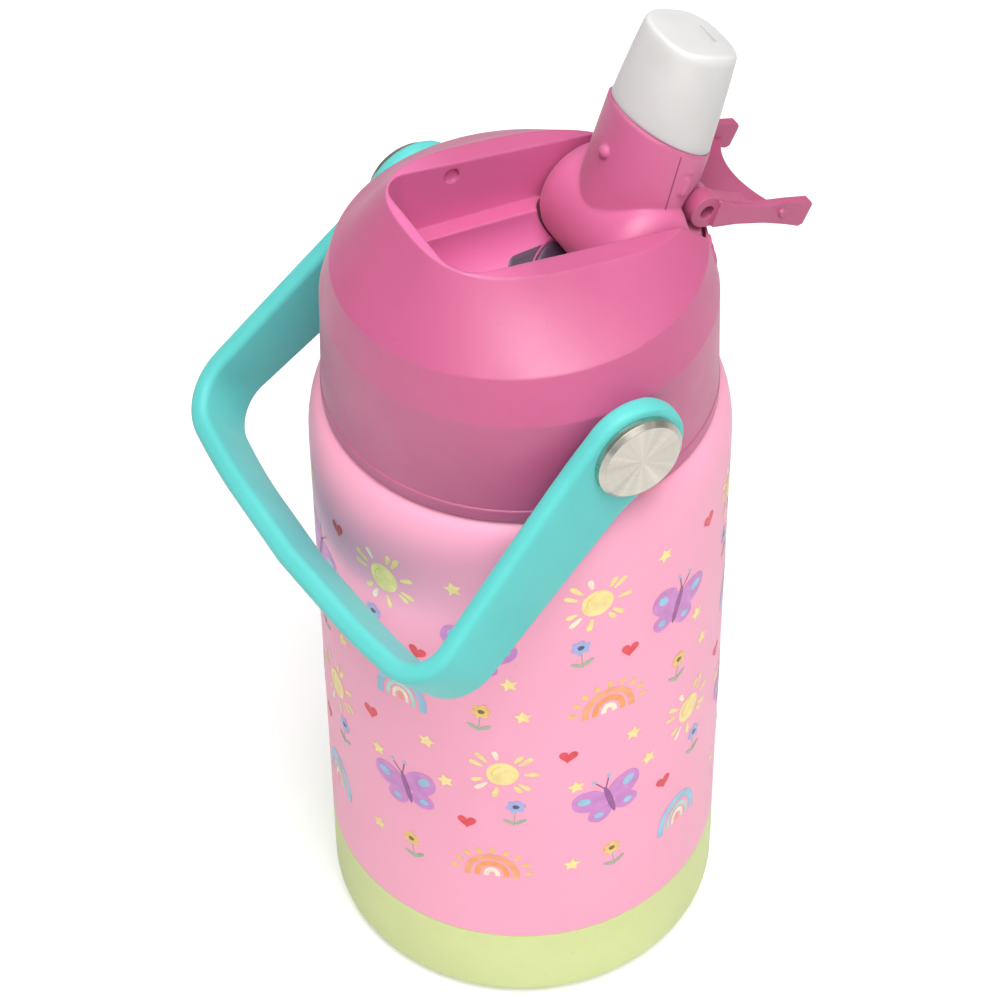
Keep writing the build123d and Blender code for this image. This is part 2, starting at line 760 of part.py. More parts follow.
def cover_hinge_pins():
    """Pins the cover turns on."""
    with BuildPart() as piece:
        for side in (1, -1):
            with BuildSketch(side_plane(side, 4.6, HINGE_Y, HINGE_Z)):
                Circle(1.2)
            extrude(amount=5.4)
        chamfer(piece.edges().filter_by(GeomType.CIRCLE), 0.2)
    return piece


# =============================================================== handle
def carry_handle():
    """Carry handle: a flat band bent around the lid, with round ends."""
    half = BAND_THICK / 2
    arm_out, arm_in = ARM_X + half, ARM_X - half
    corner_out, corner_in = CORNER_X + half, CORNER_X - half
    reach_out, reach_in = CORNER_REACH + 1.6, CORNER_REACH - 1.2
    end, bend = -10, 9    # along the arm: blank end, and where it splays outward
    # (toward the grip, half width of the band)
    widths = [(0.0, EYE_R), (10, 8.1), (30, 7.1), (48, 6.2), (66, 5.9)]
    with BuildPart() as piece:
        with BuildSketch(HANDLE_PLAN):
            with BuildLine():
                Polyline((arm_out, end), (arm_out, bend), (corner_out, reach_out))
                ThreePointArc(
                    (corner_out, reach_out), (0, REACH + half), (-corner_out, reach_out)
                )
                Polyline(
                    (-corner_out, reach_out), (-arm_out, bend), (-arm_out, end),
                    (-arm_in, end), (-arm_in, bend), (-corner_in, reach_in),
                )
                ThreePointArc((-corner_in, reach_in), (0, REACH - half), (corner_in, reach_in))
                Polyline((corner_in, reach_in), (arm_in, bend), (arm_in, end), (arm_out, end))
            make_face()
            # outer grip corners, then inner grip corners
            fillet([v for v in vertices() if v.Y > 40 and abs(v.X) > CORNER_X], 13.0)
            fillet(
                [
                    v for v in vertices()
                    if 40 < v.Y < CORNER_REACH and 38 < abs(v.X) < CORNER_X - 1
                ],
                9.0,
            )
        extrude(amount=12, both=True)
        # width seen from the side: round ends, band narrowing toward the grip
        with BuildSketch(HANDLE_SIDE):
            Circle(EYE_R)
            with BuildLine():
                Polyline(*widths, *[(x, -y) for x, y in reversed(widths)], close=True)
            make_face()
            fillet([v for v in vertices() if 5 < v.X < 60], 6.0)
        extrude(amount=60, both=True, mode=Mode.INTERSECT)
        fillet(piece.edges(), 1.2)
        for side in (1, -1):
            with BuildSketch(side_plane(side, 30.0, 0, HANDLE_Z)):
                Circle(EYELET_R + 0.05)
            extrude(amount=12, mode=Mode.SUBTRACT)
    return piece


def handle_eyelets():
    """Hard eyelets pressed into the ends of the strap; they turn on the bushings."""
    with BuildPart() as piece:
        for side in (1, -1):
            with BuildSketch(side_plane(side, ARM_X - BAND_THICK / 2 + 0.05, 0, HANDLE_Z)):
                Circle(EYELET_R)
                Circle(BUSHING_R + 0.06, mode=Mode.SUBTRACT)
            extrude(amount=BAND_THICK - 0.1)
    return piece


# Each piece is named after the function that builds it.
PIECES = (
    outer_shell, inner_vessel, base_cup, vacuum_plug, vacuum_getter, base_boot,
    lid_gasket, lid_liner, vent_valve, lid_shell, spout_seal, straw_socket, straw,
    spout_pivot_pins, handle_bushings, handle_rivets, rivet_washers,
    spout_barrel, mouthpiece, spout_cover, cover_hinge_pins, carry_handle, handle_eyelets,
)

os.makedirs("parts", exist_ok=True)
for build in PIECES:
    block = build()
    block.part.label = build.__name__
    export_step(block.part, f"parts/{build.__name__}.step")
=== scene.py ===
"""Drinking bottle with a printed body, boot, lid, folding spout and carry strap.

The bottle stands on z = 0 with its axis on Z. The handle rivets lie on the X axis direction,
the spout leans toward +Y and the strap hangs toward -Y. Lengths are millimetres unless a line
says metres; materials, lights and camera use metres.
"""
import math
import bmesh
import bpy
import numpy as np
from mathutils import Matrix, Vector
from mathutils.bvhtree import BVHTree
from mathutils.geometry import delaunay_2d_cdt

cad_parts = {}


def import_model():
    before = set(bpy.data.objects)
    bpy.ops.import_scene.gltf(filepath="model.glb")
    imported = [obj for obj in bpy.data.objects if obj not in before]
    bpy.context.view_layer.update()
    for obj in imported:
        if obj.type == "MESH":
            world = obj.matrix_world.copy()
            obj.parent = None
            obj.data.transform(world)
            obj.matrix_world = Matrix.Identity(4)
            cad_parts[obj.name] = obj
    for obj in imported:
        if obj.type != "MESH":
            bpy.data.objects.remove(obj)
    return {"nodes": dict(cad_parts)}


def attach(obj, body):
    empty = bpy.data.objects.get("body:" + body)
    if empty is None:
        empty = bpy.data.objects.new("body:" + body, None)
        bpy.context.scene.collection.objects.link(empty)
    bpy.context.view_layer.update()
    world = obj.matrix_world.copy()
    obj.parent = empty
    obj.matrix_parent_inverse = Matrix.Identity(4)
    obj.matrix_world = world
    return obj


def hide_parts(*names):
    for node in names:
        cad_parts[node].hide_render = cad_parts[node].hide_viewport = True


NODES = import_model()["nodes"]
scene = bpy.context.scene
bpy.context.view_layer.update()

MM = 0.001  # metres in a millimetre
SHELL_R = 36.5  # outside of the body
PIVOT_Z = 143.5  # height of the handle rivets
SPOUT_LEAN = math.radians(19.5)
LEAN_SIN, LEAN_COS = math.sin(SPOUT_LEAN), math.cos(SPOUT_LEAN)
JOINT_Y, JOINT_Z = 26.5, 174.2  # joint between neck and mouthpiece
NECK_HALF_X, NECK_HALF_Y = 10.0, 9.2  # half axes of the neck's oval section


# ------------------------------------------------------------------ shader helpers
def node(tree, kind, inputs=None, **settings):
    """New shader node; sockets given as inputs are linked and other values are set."""
    made = tree.nodes.new(kind)
    for key, value in settings.items():
        setattr(made, key, value)
    for key, value in (inputs or {}).items():
        if isinstance(value, bpy.types.NodeSocket):
            tree.links.new(value, made.inputs[key])
        else:
            made.inputs[key].default_value = value
    return made


def remap(tree, value, source, target=(0.0, 1.0)):
    """Maps the source range of a value to the target range."""
    inputs = {"Value": value, "From Min": source[0], "From Max": source[1],
              "To Min": target[0], "To Max": target[1]}
    return node(tree, "ShaderNodeMapRange", inputs).outputs["Result"]


def mix_color(tree, factor, first, second):
    inputs = {0: factor}
    for key, value in ((6, first), (7, second)):
        inputs[key] = (*value, 1) if isinstance(value, tuple) else value
    return node(tree, "ShaderNodeMix", inputs, data_type="RGBA").outputs[2]


def math_node(tree, operation, first, second):
    inputs = {0: first, 1: second}
    return node(tree, "ShaderNodeMath", inputs, operation=operation).outputs[0]


def dot_product(tree, first, second):
    inputs = {0: first, 1: second}
    return node(tree, "ShaderNodeVectorMath", inputs, operation="DOT_PRODUCT").outputs["Value"]


def noise(tree, vector, scale, detail=3.0, roughness=0.5):
    inputs = {"Vector": vector, "Scale": scale, "Detail": detail, "Roughness": roughness}
    return node(tree, "ShaderNodeTexNoise", inputs).outputs["Fac"]


def bevel_normal(tree, radius):
    return node(tree, "ShaderNodeBevel", {"Radius": radius}, samples=4).outputs[0]


def bump(tree, height, strength, distance, normal=None):
    inputs = {"Height": height, "Strength": strength, "Distance": distance}
    if normal:
        inputs["Normal"] = normal
    return node(tree, "ShaderNodeBump", inputs).outputs[0]


def tone(color, gain=1.0, lift=0.0):
    return tuple(min(1.0, c * gain + lift) for c in color)


def srgb(*channels):
    """Linear colour from 0-255 sRGB channels."""
    out = []
    for c in channels:
        c /= 255.0
        out.append(c / 12.92 if c <= 0.04045 else ((c + 0.055) / 1.055) ** 2.4)
    return tuple(out)


# ------------------------------------------------------------------ materials
WEAR_LIFT = 0.14  # how much lighter a worn edge is


def surface(name, color, rough=0.45, rough_spread=0.08, grain=1500, grain_bump=0.12, peel=260,
            peel_bump=0.0, mottle=30, mottle_amount=0.05, wear=0.0, wear_radius=0.0005, bevel=0.0,
            scatter=0.0, scatter_scale=0.002, scatter_radii=(1.0, 0.6, 0.5), metallic=0.0,
            specular=0.5, sheen=0.0, transmission=0.0, scratches=0.0, speck=0.0):
    """Layered surface: mottled colour, grain and orange-peel relief, uneven gloss, worn edges.

    grain, peel and mottle are noise scales; radii are in metres.
    """
    material = bpy.data.materials.new(name)
    material.use_nodes = True
    tree = material.node_tree
    tree.nodes.clear()
    # flat values first; the layered colour and gloss are linked over them below
    shader = node(tree, "ShaderNodeBsdfPrincipled", {
        "Base Color": (*color, 1), "Metallic": metallic, "Roughness": rough, "IOR": 1.45,
        "Specular IOR Level": specular, "Coat Weight": 0.0, "Coat Roughness": 0.3,
        "Sheen Weight": sheen, "Sheen Roughness": 0.5, "Transmission Weight": transmission,
        "Alpha": 1.0})
    node(tree, "ShaderNodeOutputMaterial", {0: shader.outputs[0]})
    if scatter:
        shader.inputs["Subsurface Weight"].default_value = scatter
        shader.inputs["Subsurface Radius"].default_value = scatter_radii
        shader.inputs["Subsurface Scale"].default_value = scatter_scale
    place_on = node(tree, "ShaderNodeTexCoord").outputs["Object"]

    # colour: broad mottle, fine grain, dark specks, light worn edges
    broad = noise(tree, place_on, scale=mottle, detail=4.0)
    fine = noise(tree, place_on, scale=grain, detail=2.0, roughness=0.6)
    dark = tone(color, gain=1 - mottle_amount * 1.6)
    light = tone(color, gain=1 + mottle_amount, lift=mottle_amount * 0.12)
    layered = mix_color(tree, remap(tree, broad, source=(0.35, 0.65)), dark, light)
    grain_mask = remap(tree, fine, source=(0.38, 0.62), target=(0.0, 0.35 * mottle_amount * 4))
    layered = mix_color(tree, grain_mask, layered, tone(color, gain=1.12, lift=0.02))
    if speck:
        spots = noise(tree, place_on, scale=grain * 0.33, detail=1.0)
        spot_mask = remap(tree, spots, source=(0.70, 0.76), target=(0.0, speck))
        layered = mix_color(tree, spot_mask, layered, tone(color, gain=0.6))
    if wear:
        true_normal = node(tree, "ShaderNodeNewGeometry").outputs["Normal"]
        bend = dot_product(tree, bevel_normal(tree, wear_radius), true_normal)
        worn = remap(tree, bend, source=(0.985, 0.86), target=(0.0, wear))
        patches = remap(tree, noise(tree, place_on, scale=420),
                        source=(0.35, 0.65), target=(0.35, 1.0))
        worn = math_node(tree, "MULTIPLY", worn, patches)
        layered = mix_color(tree, worn, layered, tone(color, lift=WEAR_LIFT))
    tree.links.new(layered, shader.inputs["Base Color"])

    gloss = remap(tree, noise(tree, place_on, scale=mottle * 3.1), source=(0.3, 0.7),
                  target=(rough - rough_spread, rough + rough_spread))
    tree.links.new(gloss, shader.inputs["Roughness"])

    # relief, from the softened edges out to the finest grain
    normal = bevel_normal(tree, bevel) if bevel else None
    if scratches:
        stretched = node(tree, "ShaderNodeMapping", {"Vector": place_on, "Scale": (14, 14, 900)})
        lines = noise(tree, stretched.outputs[0], scale=5.0, detail=4.0)
        normal = bump(tree, lines, strength=scratches, distance=0.00003, normal=normal)
    if peel_bump:
        waves = noise(tree, place_on, scale=peel, detail=2.0)
        normal = bump(tree, waves, strength=peel_bump, distance=0.0001, normal=normal)
    normal = bump(tree, fine, strength=grain_bump, distance=0.00004, normal=normal)
    tree.links.new(normal, shader.inputs["Normal"])
    return material


def spun_steel(name, color):
    """Turned face: fine rings about the X line through the rivet, with streaky gloss."""
    material = bpy.data.materials.new(name)
    material.use_nodes = True
    tree = material.node_tree
    shader = tree.nodes["Principled BSDF"]
    # flat colour first; the streaked colour is linked over it below
    shader.inputs["Base Color"].default_value = (*color, 1)
    shader.inputs["Metallic"].default_value = 1.0
    shader.inputs["Anisotropic"].default_value = 0.75
    position = node(tree, "ShaderNodeTexCoord").outputs["Object"]
    split = node(tree, "ShaderNodeSeparateXYZ", {0: position})
    side = split.outputs["Y"]
    rise = math_node(tree, "SUBTRACT", split.outputs["Z"], PIVOT_Z * MM)

    offset = node(tree, "ShaderNodeCombineXYZ", {0: side, 1: rise}).outputs[0]
    radius = node(tree, "ShaderNodeVectorMath", {0: offset}, operation="LENGTH").outputs["Value"]
    along_radius = node(tree, "ShaderNodeCombineXYZ", {0: radius}).outputs[0]
    rings = noise(tree, along_radius, scale=3200, detail=5)
    normal = bump(tree, rings, strength=0.25, distance=0.00002,
                  normal=bevel_normal(tree, radius=0.00012))
    tree.links.new(normal, shader.inputs["Normal"])

    angle = math_node(tree, "ARCTAN2", rise, side)
    along_angle = node(tree, "ShaderNodeCombineXYZ", {0: angle}).outputs[0]
    streaks = noise(tree, along_angle, scale=2.2, detail=3)
    layered = mix_color(tree, remap(tree, streaks, source=(0.35, 0.65)),
                        tone(color, gain=0.80), tone(color, gain=1.12))
    ring_mask = remap(tree, rings, source=(0.35, 0.65), target=(0, 0.35))
    layered = mix_color(tree, ring_mask, layered, tone(color, gain=0.7))
    tree.links.new(layered, shader.inputs["Base Color"])
    gloss = remap(tree, streaks, source=(0.3, 0.7), target=(0.24, 0.38))
    tree.links.new(gloss, shader.inputs["Roughness"])
    tangent = node(tree, "ShaderNodeTangent", direction_type="RADIAL", axis="X")
    tree.links.new(tangent.outputs[0], shader.inputs["Tangent"])
    return material


def paint_recess_light(material, color):
    """Painted light: lighter tone on recess faces, turned toward the lid axis, or flat below the
    rim, standing in for light in the recess.
    """
    tree = material.node_tree
    shader = next(x for x in tree.nodes if x.type == "BSDF_PRINCIPLED")
    plain = shader.inputs["Base Color"].links[0].from_socket
    coords = node(tree, "ShaderNodeTexCoord")
    spot = node(tree, "ShaderNodeSeparateXYZ", {0: coords.outputs["Object"]})
    level = node(tree, "ShaderNodeCombineXYZ", {0: spot.outputs["X"], 1: spot.outputs["Y"]})
    outward = dot_product(tree, level.outputs[0], coords.outputs["Normal"])
    inward_mask = remap(tree, outward, source=(-0.0008, -0.003))
    facing = node(tree, "ShaderNodeSeparateXYZ", {0: coords.outputs["Normal"]})
    flat_mask = remap(tree, facing.outputs["Z"], source=(0.94, 0.99))
    low_mask = remap(tree, spot.outputs["Z"], source=(0.1595, 0.1580))
    floor_mask = math_node(tree, "MULTIPLY", flat_mask, low_mask)
    # the floor takes 0.3 of the change and the whole change is held to 0.85
    weak = math_node(tree, "MULTIPLY", floor_mask, 0.3)
    strongest = math_node(tree, "MAXIMUM", inward_mask, weak)
    amount = math_node(tree, "MULTIPLY", strongest, 0.85)
    tree.links.new(mix_color(tree, amount, plain, color), shader.inputs["Base Color"])


MATERIALS = {
    "coat": surface(
        "coat_pink", (0.93, 0.385, 0.545), rough=0.42, rough_spread=0.05, grain=1900,
        grain_bump=0.22, peel=520, peel_bump=0.16, mottle=16, mottle_amount=0.018, speck=0.05,
        specular=0.45),
    "steel": surface(
        "vessel_steel", (0.62, 0.61, 0.60), rough=0.30, metallic=1.0, scratches=0.3,
        mottle_amount=0.06, grain_bump=0.05, bevel=0.0003),
    "getter": surface(
        "getter_metal", (0.45, 0.45, 0.47), rough=0.6, metallic=0.8, grain_bump=0.5),
    "glass": surface("solder_glass", (0.30, 0.31, 0.35), rough=0.15, mottle_amount=0.1),
    "boot": surface(
        "boot_lime", (0.63, 0.71, 0.305), rough=0.55, rough_spread=0.07, grain_bump=0.30,
        peel=300, peel_bump=0.10, mottle=40, mottle_amount=0.035, scatter=0.12,
        scatter_scale=0.0015, sheen=0.08, speck=0.08),
    "lid": surface(
        "lid_raspberry", (0.49, 0.085, 0.212), rough_spread=0.06, specular=0.95, sheen=0.05,
        grain=1700, grain_bump=0.42, peel=420, peel_bump=0.14, mottle=34, mottle_amount=0.035,
        wear=0.6, wear_radius=0.0007, bevel=0.0007, speck=0.10),
    "lid_low": surface(
        "lid_skirt", (0.55, 0.112, 0.27), rough=0.46, rough_spread=0.06, grain_bump=0.5,
        mottle=34, mottle_amount=0.04, bevel=0.0003),
    "spout": surface(
        "spout_raspberry", (0.58, 0.118, 0.270), rough=0.48, rough_spread=0.06, specular=0.7,
        sheen=0.1, grain=1700, grain_bump=0.35, peel=420, peel_bump=0.1, mottle=40,
        mottle_amount=0.035, wear=0.5, wear_radius=0.0005, bevel=0.0011),
    # painted shade: the cover's raspberry is darker than the lid's and spout's to stand in for
    # the shade on the cover
    "cover": surface(
        "cover_raspberry_painted_shade", (0.44, 0.078, 0.185), rough=0.48, rough_spread=0.06, specular=0.6,
        sheen=0.05, grain=1700, grain_bump=0.3, mottle=50, mottle_amount=0.04, wear=0.5,
        wear_radius=0.0004, bevel=0.00035),
    # painted shade: dark colour of the fine line at the step on the neck's side
    "seam": surface("step_shade_line", (0.30, 0.045, 0.12), rough=0.55, grain_bump=0.1),
    "liner": surface(
        "liner_natural", (0.78, 0.78, 0.76), rough=0.5, grain_bump=0.25, scatter=0.1,
        bevel=0.0003),
    "seal": surface(
        "seal_silicone", (0.76, 0.77, 0.78), rough=0.5, scatter=0.3, grain_bump=0.2),
    # painted shade: near-black colour of the spout pad and its thin tongue, standing in for the
    # shade in the slot under the spout
    "dark": surface(
        "seal_painted_shade", (0.065, 0.032, 0.066), rough=0.42, grain_bump=0.35, mottle_amount=0.1,
        sheen=0.1),
    "straw": surface(
        "straw_clear", (0.82, 0.85, 0.88), rough=0.22, grain_bump=0.05, transmission=0.55),
    "pin": surface(
        "pin_steel", (0.6, 0.6, 0.6), rough=0.25, metallic=1.0, scratches=0.2, bevel=0.0002),
    "rivet": spun_steel("rivet_spun", (0.63, 0.60, 0.53)),
    "mouth": surface(
        "mouth_frosted", (0.615, 0.61, 0.605), rough=0.48, rough_spread=0.07, grain=1300,
        grain_bump=0.38, peel_bump=0.12, mottle=60, mottle_amount=0.03, scatter=0.55,
        scatter_scale=0.0035, scatter_radii=(1.0, 0.95, 0.9), sheen=0.15, transmission=0.05),
    "handle": surface(
        "handle_turquoise", (0.095, 0.535, 0.51), rough=0.55, rough_spread=0.07,
        grain_bump=0.42, peel=330, peel_bump=0.12, mottle_amount=0.035, sheen=0.12,
        scatter=0.08, scatter_scale=0.001, speck=0.08),
}
# painted light: lighter raspberry laid on the recess faces of the lid
paint_recess_light(MATERIALS["lid"], (0.67, 0.145, 0.35))

# print inks, sRGB 0-255
INKS = {
    "yellow": (246, 222, 148), "star": (250, 228, 150), "red": (228, 66, 78),
    "lilac": (204, 132, 200), "blue": (148, 196, 222), "petal": (166, 176, 226),
    "navy": (58, 84, 116), "gold": (240, 198, 112), "olive": (112, 104, 62),
    "leaf": (158, 184, 152), "orange": (248, 168, 118), "amber": (246, 158, 92),
    "cream": (250, 232, 206), "mint": (176, 218, 206), "plum": (150, 84, 150),
}
for ink, channels in INKS.items():
    MATERIALS["ink_" + ink] = surface(
        "ink_" + ink, srgb(*channels), rough=0.42, rough_spread=0.06, grain=2300,
        grain_bump=0.2, mottle=420, mottle_amount=0.07, peel=520, peel_bump=0.1)

# CAD piece: material
CAD_LOOK = {
    "outer_shell": "coat", "inner_vessel": "steel", "base_cup": "steel",
    "vacuum_getter": "getter", "vacuum_plug": "glass", "lid_shell": "lid",
    "lid_liner": "liner", "straw_socket": "liner", "straw": "straw",
    "spout_pivot_pins": "pin", "handle_bushings": "liner", "handle_rivets": "rivet",
    "rivet_washers": "pin", "spout_barrel": "spout", "spout_cover": "cover",
    "cover_hinge_pins": "pin", "handle_eyelets": "liner",
}
for piece_name, look in CAD_LOOK.items():
    slots = NODES[piece_name].data.materials
    slots.clear()
    slots.append(MATERIALS[look])


# ------------------------------------------------------------------ mesh helpers
def mesh_from_mm(name, verts, faces):
    mesh = bpy.data.meshes.new(name)
    mesh.from_pydata([(x * MM, y * MM, z * MM) for x, y, z in verts], [], faces)
    return mesh


def closed_mesh(name, verts, faces):
    """Mesh with doubled vertices welded and faces turned outward."""
    mesh = mesh_from_mm(name, verts, faces)
    bm = bmesh.new()
    bm.from_mesh(mesh)
    bmesh.ops.remove_doubles(bm, verts=bm.verts, dist=2e-7)
    bmesh.ops.recalc_face_normals(bm, faces=bm.faces)
    bm.to_mesh(mesh)
    bm.free()
    return mesh


def shade_smooth(mesh, sharp=None):
    """Smooth shading, broken at edges steeper than sharp degrees."""
    for polygon in mesh.polygons:
        polygon.use_smooth = True
    if sharp:
        mesh.set_sharp_from_angle(angle=math.radians(sharp))


def add_object(name, mesh):
    added = bpy.data.objects.new(name, mesh)
    scene.collection.objects.link(added)
    return added


def piece(name, verts, faces, material, body, slot, replaces=(), sharp=None):
    """Closed piece that rides on a body and may stand in for CAD pieces."""
    mesh = closed_mesh(name, verts, faces)
    shade_smooth(mesh, sharp)
    mesh.materials.append(MATERIALS[material])
    made = add_object(name, mesh)
    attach(made, body)
    if replaces:
        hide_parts(*replaces)
    return made


def clamp(value):
    return max(0.0, min(1.0, value))


def angles(count):
    return [2 * math.pi * k / count for k in range(count)]


def circle(radius, count, x=0.0, y=0.0):
    return [(x + radius * math.cos(t), y + radius * math.sin(t)) for t in angles(count)]


def rounded(corners, steps=6, closed=True):
    """Polyline from (a, b, radius) corners with the corners rounded."""
    points = []
    count = len(corners)
    for i, (x, y, radius) in enumerate(corners):
        corner = np.array((x, y), float)
        if radius <= 0 or (not closed and i in (0, count - 1)):
            points.append(tuple(corner))
            continue
        back = np.array(corners[i - 1][:2], float) - corner
        ahead = np.array(corners[(i + 1) % count][:2], float) - corner
        back_length, ahead_length = np.linalg.norm(back), np.linalg.norm(ahead)
        back, ahead = back / back_length, ahead / ahead_length
        half = math.acos(max(-1, min(1, float(back @ ahead)))) / 2
        # the arc may use no more than about half of either side
        setback = min(radius / math.tan(half), back_length * 0.49, ahead_length * 0.49)
        arc_r = setback * math.tan(half)
        middle = back + ahead
        centre = corner + middle / np.linalg.norm(middle) * arc_r / math.sin(half)
        start = corner + back * setback - centre
        end = corner + ahead * setback - centre
        first = math.atan2(start[1], start[0])
        sweep = (math.atan2(end[1], end[0]) - first + math.pi) % (2 * math.pi) - math.pi
        for k in range(steps + 1):
            t = first + sweep * k / steps
            points.append((centre[0] + arc_r * math.cos(t), centre[1] + arc_r * math.sin(t)))
    return points


def lathe(name, profile, material, body, slot, segments, centre=(0.0, 0.0), **options):
    """Closed profile of (radius, z) turned about the vertical through centre."""
    verts = [(centre[0] + r * math.cos(t), centre[1] + r * math.sin(t), z)
             for t in angles(segments) for r, z in profile]
    faces = []
    count = len(profile)
    for k in range(segments):
        this, following = k * count, (k + 1) % segments * count
        for i in range(count):
            j = (i + 1) % count
            on_axis = profile[i][0] < 1e-9 and profile[j][0] < 1e-9
            if not on_axis:
                faces.append((this + i, following + i, following + j, this + j))
    return piece(name, verts, faces, material, body, slot, **options)


def loft(rows):
    """Vertices and faces joining equal rings, with both ends closed."""
    count = len(rows[0])
    verts = [point for row in rows for point in row]
    faces = []
    for i in range(len(rows) - 1):
        for j in range(count):
            k = (j + 1) % count
            faces.append((i * count + j, i * count + k, (i + 1) * count + k,
                          (i + 1) * count + j))
    faces.append(tuple(range(count)))
    faces.append(tuple((len(rows) - 1) * count + j for j in reversed(range(count))))
    return verts, faces


def cut(target, rows):
    """Subtracts the loft through rows from a piece."""
    tool = add_object("tool", closed_mesh("tool", *loft(rows)))
    modifier = target.modifiers.new("cut", "BOOLEAN")
    modifier.object = tool
    modifier.operation = "DIFFERENCE"
    modifier.solver = "EXACT"
    bpy.context.view_layer.update()
    evaluated = target.evaluated_get(bpy.context.evaluated_depsgraph_get())
    result = bpy.data.meshes.new_from_object(evaluated)
    target.modifiers.clear()
    target.data = result
    bpy.data.objects.remove(tool)
    shade_smooth(result, sharp=38)


# ------------------------------------------------------------------ base boot
def boot():
    """Cup round the bottom of the body, with four ring grooves underneath."""
    wall_r, rim_z, floor_z = 35.2, 18.75, 1.65
    groove_start, groove_pitch, groove_depth = 19.3, 3.0, 0.5
    corners = [(0, 0, 0)]
    for k in range(4):
        r = groove_start + groove_pitch * k
        corners += [(r, 0, 0.2), (r + 0.1, groove_depth, 0.2),
                    (r + 1.3, groove_depth, 0.2), (r + 1.4, 0, 0.2)]
    corners += [(SHELL_R, 0, 3.4), (SHELL_R + 0.06, 10.0, 30), (SHELL_R, rim_z, 0.45),
                (wall_r, rim_z, 0.2), (wall_r, floor_z, 0.5), (0, floor_z, 0)]
    lathe("boot_skin", rounded(corners, steps=7), "boot", "bottle", "boot_silicone",
          segments=224, replaces=("base_boot",), sharp=60)


boot()


# ------------------------------------------------------------------ soft seals
def neck_gasket():
    inner, outer, low, high, corner = 26.5, 29.4, 137.23, 138.57, 0.6
    profile = rounded([(inner, low, corner), (outer, low, corner),
                       (outer, high, corner), (inner, high, corner)])
    lathe("neck_gasket", profile, "seal", "lid_seal", "seal_silicone",
          segments=128, replaces=("lid_gasket",))


def umbrella_valve():
    # radius, height, corner radius
    profile = rounded([
        (0, 136.4, 0), (1.2, 136.9, 0.3), (1.35, 138.1, 0.3), (4.4, 138.15, 0.1),
        (4.6, 138.58, 0.1), (1.35, 138.6, 0.1), (1.35, 139.85, 0.1), (1.9, 140.4, 0.3),
        (1.1, 141.2, 0.2), (0, 141.2, 0)], steps=3)
    lathe("umbrella_valve", profile, "seal", "lid", "seal_silicone",
          segments=48, centre=(-12, -8), replaces=("vent_valve",))


def spout_pad():
    """Pad under the spout, cradled to the shape of the folded spout; its near-black colour is
    painted shade in the slot under the spout.
    """
    half_width, start_y, end_y = 7.95, 3.5, 21.1
    centre_y = (start_y + end_y) / 2
    straight = (end_y - start_y) / 2 - half_width
    base_z, side_z = 139.9, 143.0
    count = 96
    edge_width, edge_drop = 0.4, 0.3  # rounding of the rim
    insets = (0.0, 0.12, 0.35, 0.8, 1.5, 2.3, 3.1, 3.9, 4.6, 5.2, 5.8, 6.4, 7.0, 7.6)
    hole_r, hole_y = 2.6, 16.13

    def outline(inset):
        """Two half circles joined by short straights along Y."""
        return [(x, centre_y + y + (straight if y > 0 else -straight))
                for x, y in circle(half_width - inset, count)]

    def top(x, y):
        """Lower of a hollow along Y and a hollow along X."""
        z = 155.6 - math.sqrt(10.40 ** 2 - x * x)
        if abs(y - 19.5) < 10.1:
            z = min(z, 155.1 - math.sqrt(10.18 ** 2 - (y - 19.5) ** 2))
        return z

    rows = [[(x, y, z) for x, y in outline(0.0)] for z in (base_z, side_z)]
    for inset in insets:
        drop = edge_drop * (1 - inset / edge_width) ** 2 if inset < edge_width else 0.0
        rows.append([(x, y, top(x, y) - drop) for x, y in outline(inset)])
    pad = piece("spout_pad", *loft(rows), "dark", "lid", "dark_silicone",
                replaces=("spout_seal",), sharp=40)
    hole = circle(hole_r, 48, y=hole_y)
    cut(pad, [[(x, y, z) for x, y in hole] for z in (138.0, 152.0)])


neck_gasket()
umbrella_valve()
spout_pad()


# ------------------------------------------------------------------ mouthpiece
def on_spout(x, forward, along):
    """Point in the leaning spout's frame, from the joint; forward is toward +Y."""
    return (x, JOINT_Y + along * LEAN_SIN + forward * LEAN_COS,
            JOINT_Z + along * LEAN_COS - forward * LEAN_SIN)


